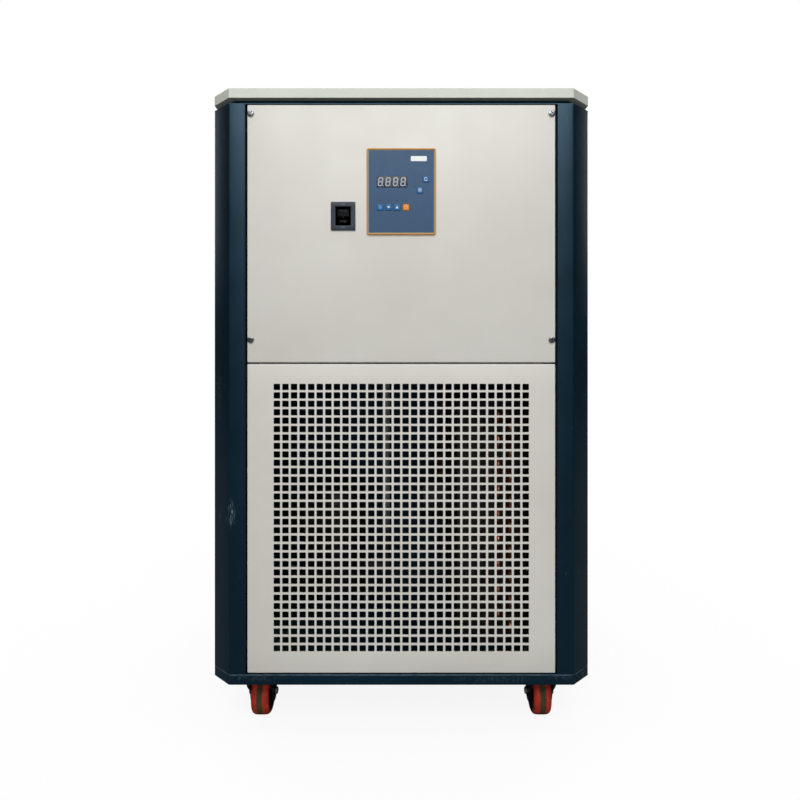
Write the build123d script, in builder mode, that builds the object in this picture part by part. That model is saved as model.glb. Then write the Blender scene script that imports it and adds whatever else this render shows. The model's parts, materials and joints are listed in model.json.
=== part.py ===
from build123d import *

import os

# Recirculating chiller: a floor-standing sheet-steel cabinet on four swivel casters.
# Millimetres. +Z is up, the front faces -Y, and the origin is on the floor under the middle of the
# whole object. A depth is counted back from the plane of the front panels.

os.makedirs("parts", exist_ok=True)

# Running clearances of shafts in their holes
SHAFT_GAP = 0.05
BORE_GAP = 0.08

# Cabinet
WIDTH = 630.0
DEPTH = 550.0
CORNER = 33.0
SHEET = 1.5
BEND = 1.2
SKIRT_Z = 85.0
PAN_TOP = 102.0
POST_TOP = 1034.5
LID_Z = 1045.0
LID_TOP = 1061.0
NECK_INSET = 13.0
FRONT_REACH = 3.2
REAR_REACH = 46.0

# Front panels and the posts beside them
POST_INNER = 255.0
POST_FOLD = 282.0
LANDING_END = 235.0
PANEL_HALF = 252.0
PANEL_FOLD = 11.5
PANEL_LOW = 104.0
PANEL_SPLIT_LOW = 609.5
PANEL_SPLIT_HIGH = 612.0
PANEL_HIGH = 1033.5
SCREW_X = 246.0
SCREW_R = 2.0
SCREW_SIDES = 8
SCREW_LOW_Z = 649.0
SCREW_HIGH_Z = 1019.0
REAR_SCREW_LOW_Z = 130.0

# Grille
GRILLE_WIDTH = 416.0
GRILLE_LOW = 140.0
GRILLE_HIGH = 576.0
GRILLE_COLUMNS = 17
GRILLE_ROWS = 18
GRILLE_OPEN = 0.66

# Controller and mains switch
CONTROL_Z = 891.0
BEZEL_W = 113.0
BEZEL_H = 141.0
OVERLAY_W = 106.0
OVERLAY_H = 134.0
OVERLAY_SEAT = 3.5
KEY = 10.2
KEY_GAP = 0.35
KEY_TRAVEL = 0.8
SWITCH_X = -95.0
SWITCH_Z = 851.0
SWITCH_W = 40.0
SWITCH_H = 46.5
RECESS_W = 25.0
RECESS_H = 31.0
RECESS_WALL = 3.0
ROCKER_W = 19.0
ROCKER_H = 22.5
ROCKER_THROW = 8.0

# Decks and tank
DECK_TOP = 607.5
DECK_FLANGE = 20.0
DECK_NEAR = 45.0
DECK_FAR = 505.0
FOAM = 25.0
TANK_X = -70.0
TANK_NEAR = 60.0
TANK_FAR = 370.0
TANK_HALF = 160.0
TANK_TOP = 975.0
NECK_R = 32.0
NECK_WALL = 2.0
NECK_TOP = 1068.0

# Plumbing
PIPE_R = 9.0
PORT_Z = 830.0
SUPPLY_X = -80.0
RETURN_X = 95.0
TRANSFER_X = 65.0
DRAIN_X = 10.0
DRAIN_Z = 650.0
TAIL_R = 6.0
PORT_INSIDE = 530.0
PUMP_DEPTH = 450.0
PUMP_Z = 667.0
PUMP_INLET_X = -35.0
PUMP_SIDES = 16

# Refrigeration
COMPRESSOR_X = -150.0
COMPRESSOR_DEPTH = 400.0
COMPRESSOR_R = 75.0
SHELL_SIDES = 24
FOOT_PLATE_W = 190.0
FOOT_PLATE_D = 150.0
MOUNT_SPACING_X = 150.0
MOUNT_SPACING_Y = 110.0
MOUNT_R = 12.0
DRIER_R = 22.0
SUCTION_X = -35.0
SUCTION_Z = 150.0
COIL_X = 152.0
COIL_PITCH_X = 21.0
COIL_PITCH_Z = 22.25
COIL_LOW = 126.0
COIL_ROWS = 4
COIL_BENDS = 9
COIL_TUBE_R = 4.8
COIL_NEAR = 112.0
COIL_FAR = 480.0
FAN_R = 140.0
FAN_Z = 330.0
FAN_DEPTH = 296.0
FAN_MOTOR_R = 40.0

# Casters
CASTER_X = 241.0
CASTER_NEAR = 45.0
CASTER_FAR = 475.0
TRAIL = 30.0
WHEEL_R = 37.5
WHEEL_W = 31.0
AXLE_R = 4.0
FORK_INNER = 17.5
FORK_SHEET = 2.5
LEG_TUCK = 14.0
LEG_DROP = 11.0
LEG_END_R = 18.0
STUD_R = 6.0

FRONT_Y = -(DEPTH + FRONT_REACH + REAR_REACH) / 2 + FRONT_REACH
MID_Y = FRONT_Y + DEPTH / 2
INNER_X = WIDTH / 2 - SHEET


def back(depth):
    """Y of a point that lies this far behind the plane of the front panels."""
    return FRONT_Y + depth


def plan(z, inset=0.0):
    """The cabinet's plan at one height: a rectangle with its corners cut, drawn in by an inset."""
    with BuildSketch(Plane((0, MID_Y, z))) as outline:
        Rectangle(WIDTH, DEPTH)
        chamfer(outline.vertices(), CORNER)
        if inset:
            offset(amount=-inset, kind=Kind.INTERSECTION)
    return outline.sketch


def front_plane(x, z, depth=0.0):
    """A plane that faces the front, with its own X to the right and its own Y up."""
    return Plane(origin=(x, back(depth), z), x_dir=(1, 0, 0), z_dir=(0, -1, 0))


def rear_plane(x, z, depth=DEPTH):
    """A plane that faces the rear, with its own Y up."""
    return Plane(origin=(x, back(depth), z), x_dir=(-1, 0, 0), z_dir=(0, 1, 0))


def side_plane(x, depth, z):
    """A plane that faces right, with its own X to the rear and its own Y up."""
    return Plane(origin=(x, back(depth), z), x_dir=(0, 1, 0), z_dir=(1, 0, 0))


def save(builder, name):
    """Label a finished piece and write it."""
    builder.part.label = name
    export_step(builder.part, f"parts/{name}.step")


# Cabinet: base pan, an inverted tray whose skirt is the bottom rail
with BuildPart() as base_pan:
    extrude(plan(SKIRT_Z), amount=PAN_TOP - SKIRT_Z)
    chamfer(base_pan.faces().sort_by(Axis.Z)[-1].edges(), BEND)
    extrude(plan(SKIRT_Z, SHEET), amount=PAN_TOP - SHEET - SKIRT_Z, mode=Mode.SUBTRACT)
    with BuildSketch(Plane.XY.offset(PAN_TOP)):
        with Locations((0, (back(CASTER_NEAR) + back(CASTER_FAR)) / 2)):
            with GridLocations(2 * CASTER_X, CASTER_FAR - CASTER_NEAR, 2, 2):
                RegularPolygon(STUD_R, SCREW_SIDES)
    extrude(amount=-2 * SHEET, mode=Mode.SUBTRACT)
save(base_pan, "base_pan")

# Side panels: one folded sheet each, from the front landing round both cut corners to the rear one
SIDE_PATH = [
    (LANDING_END, PANEL_FOLD),
    (POST_INNER, PANEL_FOLD),
    (POST_INNER, 0.0),
    (POST_FOLD, 0.0),
    (WIDTH / 2, CORNER),
    (WIDTH / 2, DEPTH - CORNER),
    (POST_FOLD, DEPTH),
    (POST_INNER, DEPTH),
    (POST_INNER, DEPTH - PANEL_FOLD),
    (LANDING_END, DEPTH - PANEL_FOLD),
]
FOOT_W = 15.0
VENT_W = 130.0
VENT_H = 8.0
VENT_PITCH = 26.0
VENT_ROWS = 10

with BuildPart() as right_side_panel:
    with BuildSketch(Plane((0, FRONT_Y, PAN_TOP))):
        with BuildLine():
            Polyline(*SIDE_PATH)
            offset(amount=SHEET, side=Side.LEFT, kind=Kind.INTERSECTION)
        make_face()
    extrude(amount=POST_TOP - PAN_TOP)
    with BuildSketch(Plane((INNER_X - FOOT_W / 2, MID_Y, PAN_TOP))):
        Rectangle(FOOT_W, DEPTH - 3 * CORNER)
    extrude(amount=SHEET)
    with BuildSketch(front_plane(SCREW_X, 0)):
        with Locations((0, SCREW_LOW_Z), (0, SCREW_HIGH_Z)):
            RegularPolygon(SCREW_R, SCREW_SIDES)
    extrude(amount=-2 * PANEL_FOLD, mode=Mode.SUBTRACT)
    with BuildSketch(rear_plane(SCREW_X, 0)):
        with Locations((0, REAR_SCREW_LOW_Z), (0, SCREW_HIGH_Z)):
            RegularPolygon(SCREW_R, SCREW_SIDES)
    extrude(amount=-2 * PANEL_FOLD, mode=Mode.SUBTRACT)
    # Slots for the fan's air, which comes in on the right and leaves on the left
    with BuildSketch(side_plane(WIDTH / 2, DEPTH / 2, FAN_Z)):
        with GridLocations(VENT_W + VENT_PITCH, VENT_PITCH, 2, VENT_ROWS):
            Rectangle(VENT_W, VENT_H)
    extrude(amount=-2 * SHEET, mode=Mode.SUBTRACT)
save(right_side_panel, "right_side_panel")

with BuildPart() as left_side_panel:
    mirror(right_side_panel.part, about=Plane.YZ)
save(left_side_panel, "left_side_panel")

# Mid deck: a tray with turned-down edges between the side panels. The suction pipe passes through it.
with BuildPart() as mid_deck:
    with BuildSketch(Plane((0, back((DECK_NEAR + DECK_FAR) / 2), DECK_TOP))):
        Rectangle(2 * INNER_X, DECK_FAR - DECK_NEAR)
    extrude(amount=-DECK_FLANGE)
    offset(amount=-SHEET, openings=mid_deck.faces().sort_by(Axis.Z)[0])
    with BuildSketch(Plane.XY.offset(DECK_TOP)):
        with Locations((SUCTION_X, back(COMPRESSOR_DEPTH))):
            Circle(PIPE_R)
    extrude(amount=-2 * SHEET, mode=Mode.SUBTRACT)
save(mid_deck, "mid_deck")

# Cross rail: a channel behind the joint between the two front panels
RAIL_HALF = 253.0
RAIL_H = 30.0
RAIL_D = 15.0
RAIL_DEPTH = PANEL_FOLD + SHEET + RAIL_D / 2
with BuildPart() as cross_rail:
    with BuildSketch(side_plane(-RAIL_HALF, RAIL_DEPTH, PANEL_SPLIT_HIGH)):
        Rectangle(RAIL_D, RAIL_H)
        with Locations((SHEET, 0)):
            Rectangle(RAIL_D, RAIL_H - 2 * SHEET, mode=Mode.SUBTRACT)
    extrude(amount=2 * RAIL_HALF)
save(cross_rail, "cross_rail")

# Top frame: a ledge on the posts, a recessed neck and the flange that the cover sits on
FRAME_FLANGE = 32.0
with BuildPart() as top_frame:
    extrude(plan(POST_TOP), amount=SHEET)
    extrude(plan(POST_TOP, NECK_INSET), amount=LID_Z - POST_TOP)
    extrude(plan(POST_TOP, NECK_INSET + SHEET), amount=LID_Z - SHEET - POST_TOP, mode=Mode.SUBTRACT)
    extrude(plan(LID_Z - SHEET, FRAME_FLANGE), amount=SHEET, mode=Mode.SUBTRACT)
save(top_frame, "top_frame")

# Top cover: a folded lid with a return flange below, and the filler's hole
LID_FLANGE = 28.0
FILLER_Y = back((TANK_NEAR + TANK_FAR) / 2)
with BuildPart() as top_cover:
    extrude(plan(LID_Z), amount=LID_TOP - LID_Z)
    fillet(top_cover.faces().sort_by(Axis.Z)[-1].edges(), BEND)
    extrude(plan(LID_Z + SHEET, SHEET), amount=LID_TOP - LID_Z - 2 * SHEET, mode=Mode.SUBTRACT)
    extrude(plan(LID_Z, LID_FLANGE), amount=SHEET, mode=Mode.SUBTRACT)
    with BuildSketch(Plane((TANK_X, FILLER_Y, LID_TOP))):
        Circle(NECK_R)
    extrude(amount=-2 * SHEET, mode=Mode.SUBTRACT)
save(top_cover, "top_cover")

# Front panels: trays with folded edges that seat on the posts' landings
with BuildPart() as upper_front_panel:
    with BuildSketch(front_plane(0, (PANEL_SPLIT_HIGH + PANEL_HIGH) / 2)):
        Rectangle(2 * PANEL_HALF, PANEL_HIGH - PANEL_SPLIT_HIGH)
    extrude(amount=-PANEL_FOLD)
    fillet(upper_front_panel.faces().sort_by(Axis.Y)[0].edges(), BEND)
    offset(amount=-SHEET, openings=upper_front_panel.faces().sort_by(Axis.Y)[-1])
    with BuildSketch(front_plane(0, 0)):
        with Locations((0, (SCREW_LOW_Z + SCREW_HIGH_Z) / 2)):
            with GridLocations(2 * SCREW_X, SCREW_HIGH_Z - SCREW_LOW_Z, 2, 2):
                RegularPolygon(SCREW_R, SCREW_SIDES)
        with Locations((0, CONTROL_Z)):
            Rectangle(OVERLAY_W - 2 * OVERLAY_SEAT, OVERLAY_H - 2 * OVERLAY_SEAT)
        with Locations((SWITCH_X, SWITCH_Z)):
            Rectangle(RECESS_W + 2 * RECESS_WALL, RECESS_H + 2 * RECESS_WALL)
    extrude(amount=-2 * SHEET, mode=Mode.SUBTRACT)
save(upper_front_panel, "upper_front_panel")

with BuildPart() as lower_front_panel:
    with BuildSketch(front_plane(0, (PANEL_LOW + PANEL_SPLIT_LOW) / 2)):
        Rectangle(2 * PANEL_HALF, PANEL_SPLIT_LOW - PANEL_LOW)
    extrude(amount=-PANEL_FOLD)
    fillet(lower_front_panel.faces().sort_by(Axis.Y)[0].edges(), BEND)
    offset(amount=-SHEET, openings=lower_front_panel.faces().sort_by(Axis.Y)[-1])
    pitch_x = GRILLE_WIDTH / (GRILLE_COLUMNS - 1 + GRILLE_OPEN)
    pitch_z = (GRILLE_HIGH - GRILLE_LOW) / (GRILLE_ROWS - 1 + GRILLE_OPEN)
    with BuildSketch(front_plane(0, (GRILLE_LOW + GRILLE_HIGH) / 2)):
        with GridLocations(pitch_x, pitch_z, GRILLE_COLUMNS, GRILLE_ROWS):
            Rectangle(pitch_x * GRILLE_OPEN, pitch_z * GRILLE_OPEN)
    extrude(amount=-2 * SHEET, mode=Mode.SUBTRACT)
save(lower_front_panel, "lower_front_panel")

# Rear panel: a tray like the front ones, with holes for the ports and the cable gland
GLAND_X = 200.0
GLAND_Z = 660.0
GLAND_R = 10.0
GLAND_HEX_R = 15.0
GLAND_HEX_T = 6.0
GLAND_DOME = 12.0
GLAND_EDGE = 2.0
GLAND_INSIDE = 10.0
PORT_BODY_R = 11.0
with BuildPart() as rear_panel:
    with BuildSketch(rear_plane(0, (PANEL_LOW + PANEL_HIGH) / 2)):
        Rectangle(2 * PANEL_HALF, PANEL_HIGH - PANEL_LOW)
    extrude(amount=-PANEL_FOLD)
    fillet(rear_panel.faces().sort_by(Axis.Y)[-1].edges(), BEND)
    offset(amount=-SHEET, openings=rear_panel.faces().sort_by(Axis.Y)[0])
    with BuildSketch(rear_plane(0, 0)):
        with Locations((0, (REAR_SCREW_LOW_Z + SCREW_HIGH_Z) / 2)):
            with GridLocations(2 * SCREW_X, SCREW_HIGH_Z - REAR_SCREW_LOW_Z, 2, 2):
                RegularPolygon(SCREW_R, SCREW_SIDES)
        with Locations((-SUPPLY_X, PORT_Z), (-RETURN_X, PORT_Z), (-DRAIN_X, DRAIN_Z)):
            Circle(PORT_BODY_R)
        with Locations((-GLAND_X, GLAND_Z)):
            Circle(GLAND_R)
    extrude(amount=-2 * SHEET, mode=Mode.SUBTRACT)
save(rear_panel, "rear_panel")

# Panel screws: pan heads on the panels, shanks into the landings
HEAD_R = 5.5
HEAD_H = 3.2
SHANK = 14.0
with BuildPart() as panel_screws:
    for plane_of, low in ((front_plane, SCREW_LOW_Z), (rear_plane, REAR_SCREW_LOW_Z)):
        for x in (-SCREW_X, SCREW_X):
            for z in (low, SCREW_HIGH_Z):
                with BuildSketch(plane_of(x, z)):
                    RegularPolygon(HEAD_R, 2 * SCREW_SIDES)
                extrude(amount=HEAD_H)
                with BuildSketch(plane_of(x, z)):
                    RegularPolygon(SCREW_R, SCREW_SIDES)
                extrude(amount=-SHANK)
save(panel_screws, "panel_screws")

# Controller: a case in the panel's cut-out, a raised bezel, a printed overlay and its window
CASE_LIP = 1.2
CASE_D = 38.0
OVERLAY_T = 0.8
BEZEL_T = 3.2
BEZEL_EDGE = 0.6
WINDOW_X = -15.0
WINDOW_Z = 907.0
WINDOW_W = 50.3
WINDOW_H = 19.0
POCKET_D = 2.7
KEY_BACK = 0.3
KEY_FRONT = 2.9
KEY_EDGE = 0.5
KEYS = {
    "mode_key": (-34.6, 865.0),
    "down_key": (-20.6, 865.0),
    "up_key": (-6.9, 865.0),
    "set_key": (7.8, 865.0),
    "pump_key": (40.0, 911.0),
    "cooling_key": (30.6, 893.0),
}
KEY_PLACES = [(x, z - CONTROL_Z) for x, z in KEYS.values()]

with BuildPart() as controller_case:
    with BuildSketch(front_plane(0, CONTROL_Z)):
        Rectangle(OVERLAY_W, OVERLAY_H)
    extrude(amount=CASE_LIP)
    with BuildSketch(front_plane(0, CONTROL_Z)):
        Rectangle(OVERLAY_W - 2 * OVERLAY_SEAT, OVERLAY_H - 2 * OVERLAY_SEAT)
    extrude(amount=-CASE_D)
    with BuildSketch(front_plane(0, CONTROL_Z, -CASE_LIP)):
        with Locations(*KEY_PLACES):
            Rectangle(KEY + 2 * KEY_GAP, KEY + 2 * KEY_GAP)
    extrude(amount=-POCKET_D, mode=Mode.SUBTRACT)
save(controller_case, "controller_case")

with BuildPart() as controller_bezel:
    with BuildSketch(front_plane(0, CONTROL_Z)):
        RectangleRounded(BEZEL_W, BEZEL_H, 3.0)
        Rectangle(OVERLAY_W, OVERLAY_H, mode=Mode.SUBTRACT)
    extrude(amount=BEZEL_T)
    chamfer(controller_bezel.faces().sort_by(Axis.Y)[0].edges(), BEZEL_EDGE)
save(controller_bezel, "controller_bezel")

with BuildPart() as controller_overlay:
    with BuildSketch(front_plane(0, CONTROL_Z, -CASE_LIP)):
        Rectangle(OVERLAY_W, OVERLAY_H)
        with Locations((WINDOW_X, WINDOW_Z - CONTROL_Z)):
            Rectangle(WINDOW_W, WINDOW_H, mode=Mode.SUBTRACT)
        with Locations(*KEY_PLACES):
            Rectangle(KEY + 2 * KEY_GAP, KEY + 2 * KEY_GAP, mode=Mode.SUBTRACT)
    extrude(amount=OVERLAY_T)
save(controller_overlay, "controller_overlay")

with BuildPart() as display_window:
    with BuildSketch(front_plane(WINDOW_X, WINDOW_Z, -CASE_LIP)):
        Rectangle(WINDOW_W, WINDOW_H)
    extrude(amount=OVERLAY_T)
save(display_window, "display_window")

for key_name, (key_x, key_z) in KEYS.items():
    with BuildPart() as key_cap:
        with BuildSketch(front_plane(key_x, key_z, KEY_BACK)):
            Rectangle(KEY, KEY)
        extrude(amount=KEY_BACK + KEY_FRONT)
        chamfer(key_cap.faces().sort_by(Axis.Y)[0].edges(), KEY_EDGE)
    save(key_cap, key_name)

# Mains switch: a bezel with a deep recess, and a rocker on stub pins
RIM = 2.6
SWITCH_CORNER = 2.0
SWITCH_BACK = 24.0
RECESS_D = 8.0
PIVOT_D = 3.5
PIVOT_R = 2.0
with BuildPart() as switch_housing:
    with BuildSketch(front_plane(SWITCH_X, SWITCH_Z)) as switch_plate:
        Rectangle(SWITCH_W, SWITCH_H)
        chamfer(switch_plate.vertices(), SWITCH_CORNER)
    extrude(amount=RIM)
    chamfer(switch_housing.faces().sort_by(Axis.Y)[0].edges(), SWITCH_CORNER / 2)
    with BuildSketch(front_plane(SWITCH_X, SWITCH_Z)):
        Rectangle(RECESS_W + 2 * RECESS_WALL, RECESS_H + 2 * RECESS_WALL)
    extrude(amount=-SWITCH_BACK)
    with BuildSketch(front_plane(SWITCH_X, SWITCH_Z, -RIM)):
        Rectangle(RECESS_W, RECESS_H)
    extrude(amount=-RIM - RECESS_D, mode=Mode.SUBTRACT)
    with BuildSketch(side_plane(SWITCH_X, PIVOT_D, SWITCH_Z)):
        Circle(PIVOT_R + SHAFT_GAP)
    extrude(amount=RECESS_W / 2 + 1.7, both=True, mode=Mode.SUBTRACT)
save(switch_housing, "switch_housing")

with BuildPart() as switch_rocker:
    rocker_plane = side_plane(SWITCH_X, PIVOT_D, SWITCH_Z).rotated((ROCKER_THROW, 0, 0))
    with BuildSketch(rocker_plane):
        with BuildLine():
            Polyline(
                (-5.0, ROCKER_H / 2),
                (-3.4, 0),
                (-5.0, -ROCKER_H / 2),
                (-1.0, -ROCKER_H / 2),
                (3.0, -3.0),
                (3.0, 3.0),
                (-1.0, ROCKER_H / 2),
                close=True,
            )
        make_face()
    extrude(amount=ROCKER_W / 2, both=True)
    with BuildSketch(rocker_plane):
        Circle(PIVOT_R)
    extrude(amount=RECESS_W / 2 + 1.3, both=True)
save(switch_rocker, "switch_rocker")

# Reservoir: a stainless tank in a foam jacket on the mid deck
with BuildPart() as tank_jacket:
    with BuildSketch(Plane((TANK_X, FILLER_Y, DECK_TOP))):
        Rectangle(2 * TANK_HALF, TANK_FAR - TANK_NEAR)
    extrude(amount=TANK_TOP - DECK_TOP)
    with BuildSketch(Plane((TANK_X, FILLER_Y, TANK_TOP))):
        Rectangle(2 * (TANK_HALF - FOAM), TANK_FAR - TANK_NEAR - 2 * FOAM)
    extrude(amount=-(TANK_TOP - DECK_TOP - FOAM), mode=Mode.SUBTRACT)
    with BuildSketch(rear_plane(0, 0, TANK_FAR)):
        with Locations((-PUMP_INLET_X, PUMP_Z), (-TRANSFER_X, PORT_Z), (-DRAIN_X, DRAIN_Z)):
            Circle(PIPE_R)
    extrude(amount=-FOAM, mode=Mode.SUBTRACT)
save(tank_jacket, "tank_jacket")

with BuildPart() as reservoir_tank:
    with BuildSketch(Plane((TANK_X, FILLER_Y, DECK_TOP + FOAM))):
        Rectangle(2 * (TANK_HALF - FOAM), TANK_FAR - TANK_NEAR - 2 * FOAM)
    extrude(amount=TANK_TOP - DECK_TOP - FOAM)
    offset(amount=-SHEET, openings=reservoir_tank.faces().sort_by(Axis.Z)[-1])
    with BuildSketch(Plane((TANK_X, FILLER_Y, TANK_TOP))):
        Rectangle(2 * (TANK_HALF - FOAM), TANK_FAR - TANK_NEAR - 2 * FOAM)
    extrude(amount=SHEET)
    with BuildSketch(Plane((TANK_X, FILLER_Y, TANK_TOP))):
        Circle(NECK_R - NECK_WALL)
    extrude(amount=SHEET, mode=Mode.SUBTRACT)
save(reservoir_tank, "reservoir_tank")

with BuildPart() as filler_neck:
    with BuildSketch(Plane((TANK_X, FILLER_Y, TANK_TOP + SHEET))):
        Circle(NECK_R)
        Circle(NECK_R - NECK_WALL, mode=Mode.SUBTRACT)
    extrude(amount=NECK_TOP - TANK_TOP - SHEET)
save(filler_neck, "filler_neck")

# Filler cap: a many-sided cup over the neck
CAP_R = 38.0
CAP_SIDES = 24
CAP_TOP = 1079.0
CAP_GAP = 0.5
CAP_EDGE = 2.0
with BuildPart() as filler_cap:
    with BuildSketch(Plane((TANK_X, FILLER_Y, LID_TOP + CAP_GAP))):
        RegularPolygon(CAP_R, CAP_SIDES)
    extrude(amount=CAP_TOP - LID_TOP - CAP_GAP)
    chamfer(filler_cap.faces().sort_by(Axis.Z)[-1].edges(), CAP_EDGE)
    with BuildSketch(Plane((TANK_X, FILLER_Y, LID_TOP + CAP_GAP))):
        RegularPolygon(NECK_R + CAP_GAP, CAP_SIDES, major_radius=False)
    extrude(amount=NECK_TOP - LID_TOP, mode=Mode.SUBTRACT)
save(filler_cap, "filler_cap")

# Evaporator: a foam-clad plate heat exchanger behind the tank
EVAP_X = 95.0
EVAP_W = 110.0
EVAP_NEAR = 380.0
EVAP_FAR = 465.0
EVAP_TOP = 890.0
EVAP_CORNER = 8.0
with BuildPart() as evaporator:
    with BuildSketch(Plane((EVAP_X, back((EVAP_NEAR + EVAP_FAR) / 2), DECK_TOP))):
        Rectangle(EVAP_W, EVAP_FAR - EVAP_NEAR)
    extrude(amount=EVAP_TOP - DECK_TOP)
    chamfer(evaporator.edges().filter_by(Axis.Z), EVAP_CORNER)
save(evaporator, "evaporator")

# Circulation pump: motor, head and foot in one line along X
PUMP_LEFT = -230.0
MOTOR_END = -108.0
HEAD_END = -62.0
MOTOR_R = 45.0
HEAD_PUMP_R = 52.0
PUMP_FOOT_W = 90.0
PUMP_FOOT_D = 70.0
with BuildPart() as circulation_pump:
    with BuildSketch(side_plane(PUMP_LEFT, PUMP_DEPTH, PUMP_Z)):
        RegularPolygon(MOTOR_R, PUMP_SIDES, rotation=180 / PUMP_SIDES)
    extrude(amount=MOTOR_END - PUMP_LEFT)
    with BuildSketch(side_plane(MOTOR_END, PUMP_DEPTH, PUMP_Z)):
        RegularPolygon(HEAD_PUMP_R, PUMP_SIDES, rotation=180 / PUMP_SIDES)
    extrude(amount=HEAD_END - MOTOR_END)
    with BuildSketch(Plane(((PUMP_LEFT + MOTOR_END) / 2, back(PUMP_DEPTH), DECK_TOP))):
        Rectangle(PUMP_FOOT_W, PUMP_FOOT_D)
    extrude(amount=PUMP_Z - DECK_TOP)
save(circulation_pump, "circulation_pump")

# Coolant pipes, mitred at their elbows
SUPPLY_LOW = PUMP_Z + HEAD_PUMP_R - 3
with BuildPart() as pump_inlet_pipe:
    with BuildLine():
        Polyline(
            (PUMP_INLET_X, back(TANK_FAR - FOAM), PUMP_Z),
            (PUMP_INLET_X, back(PUMP_DEPTH), PUMP_Z),
            (HEAD_END, back(PUMP_DEPTH), PUMP_Z),
        )
    with BuildSketch(rear_plane(PUMP_INLET_X, PUMP_Z, TANK_FAR - FOAM)):
        Circle(PIPE_R)
    sweep(transition=Transition.RIGHT)
save(pump_inlet_pipe, "pump_inlet_pipe")

with BuildPart() as supply_pipe:
    with BuildLine():
        Polyline(
            (SUPPLY_X, back(PUMP_DEPTH), SUPPLY_LOW),
            (SUPPLY_X, back(PUMP_DEPTH), PORT_Z),
            (SUPPLY_X, back(PORT_INSIDE), PORT_Z),
        )
    with BuildSketch(Plane((SUPPLY_X, back(PUMP_DEPTH), SUPPLY_LOW))):
        Circle(PIPE_R)
    sweep(transition=Transition.RIGHT)
    add(circulation_pump.part, mode=Mode.SUBTRACT)
save(supply_pipe, "supply_pipe")

with BuildPart() as return_pipe:
    with BuildSketch(rear_plane(RETURN_X, PORT_Z, EVAP_FAR)):
        Circle(PIPE_R)
    extrude(amount=PORT_INSIDE - EVAP_FAR)
    with BuildSketch(rear_plane(TRANSFER_X, PORT_Z, TANK_FAR - FOAM)):
        Circle(PIPE_R)
    extrude(amount=EVAP_NEAR - TANK_FAR + FOAM)
save(return_pipe, "return_pipe")

with BuildPart() as drain_pipe:
    with BuildSketch(rear_plane(DRAIN_X, DRAIN_Z, TANK_FAR - FOAM)):
        Circle(PIPE_R)
    extrude(amount=PORT_INSIDE - TANK_FAR + FOAM)
save(drain_pipe, "drain_pipe")

# Rear ports: bulkhead bodies with a hexagon outside and a smooth hose tail
HEX_R = 14.0
HEX_T = 8.0
TAIL_BORE_R = 4.0
TAIL_BORE_D = 20.0
with BuildPart() as hose_ports:
    for port_x in (SUPPLY_X, RETURN_X):
        with BuildSketch(rear_plane(port_x, PORT_Z, PORT_INSIDE)):
            Circle(PORT_BODY_R)
        extrude(amount=DEPTH - PORT_INSIDE)
        with BuildSketch(rear_plane(port_x, PORT_Z)):
            RegularPolygon(HEX_R, 6)
        extrude(amount=HEX_T)
        with BuildSketch(rear_plane(port_x, PORT_Z, DEPTH + HEX_T)):
            Circle(TAIL_R)
        extrude(amount=REAR_REACH - HEX_T)
        with BuildSketch(rear_plane(port_x, PORT_Z, DEPTH + REAR_REACH)):
            Circle(TAIL_BORE_R)
        extrude(amount=-TAIL_BORE_D, mode=Mode.SUBTRACT)
save(hose_ports, "hose_ports")

# Drain valve: a quarter-turn ball valve whose lever lies across the outlet when it is shut
VALVE_R = 13.0
VALVE_L = 22.0
LEVER_L = 40.0
LEVER_W = 12.0
LEVER_T = 2.5
STEM_R = 3.0
LEVER_Z = DRAIN_Z + VALVE_R + 4.0
VALVE_DEPTH = DEPTH + HEX_T + VALVE_L / 2
with BuildPart() as drain_valve:
    with BuildSketch(rear_plane(DRAIN_X, DRAIN_Z, PORT_INSIDE)):
        Circle(PORT_BODY_R)
    extrude(amount=DEPTH - PORT_INSIDE)
    with BuildSketch(rear_plane(DRAIN_X, DRAIN_Z)):
        RegularPolygon(HEX_R, 6)
    extrude(amount=HEX_T)
    with BuildSketch(rear_plane(DRAIN_X, DRAIN_Z, DEPTH + HEX_T)):
        RegularPolygon(VALVE_R, 8, rotation=22.5)
    extrude(amount=VALVE_L)
    with BuildSketch(rear_plane(DRAIN_X, DRAIN_Z, DEPTH + HEX_T + VALVE_L)):
        Circle(TAIL_R)
    extrude(amount=REAR_REACH - HEX_T - VALVE_L)
    with BuildSketch(Plane((DRAIN_X, back(VALVE_DEPTH), DRAIN_Z))):
        Circle(STEM_R)
    extrude(amount=LEVER_Z + LEVER_T - DRAIN_Z)
save(drain_valve, "drain_valve")

with BuildPart() as drain_lever:
    with BuildSketch(Plane((DRAIN_X, back(VALVE_DEPTH), LEVER_Z))) as lever_outline:
        with Locations((LEVER_L * 0.7, 0)):
            Rectangle(LEVER_L * 0.6, LEVER_W)
        chamfer(lever_outline.vertices(), LEVER_W / 4)
        RegularPolygon(LEVER_W * 0.7, SCREW_SIDES, rotation=180 / SCREW_SIDES)
        with Locations((LEVER_L / 4, 0)):
            Rectangle(LEVER_L / 2, LEVER_W * 0.7)
        Circle(STEM_R + SHAFT_GAP, mode=Mode.SUBTRACT)
    extrude(amount=LEVER_T)
save(drain_lever, "drain_lever")

# Cable gland with its sealing insert closed
with BuildPart() as cable_gland:
    with BuildSketch(rear_plane(GLAND_X, GLAND_Z)):
        RegularPolygon(GLAND_HEX_R, 6)
    extrude(amount=GLAND_HEX_T)
    with BuildSketch(rear_plane(GLAND_X, GLAND_Z, DEPTH + GLAND_HEX_T)):
        RegularPolygon(GLAND_R, 12)
    extrude(amount=GLAND_DOME)
    chamfer(cable_gland.faces().sort_by(Axis.Y)[-1].edges(), GLAND_EDGE)
    with BuildSketch(rear_plane(GLAND_X, GLAND_Z)):
        Circle(GLAND_R)
    extrude(amount=-GLAND_INSIDE)
save(cable_gland, "cable_gland")

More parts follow.
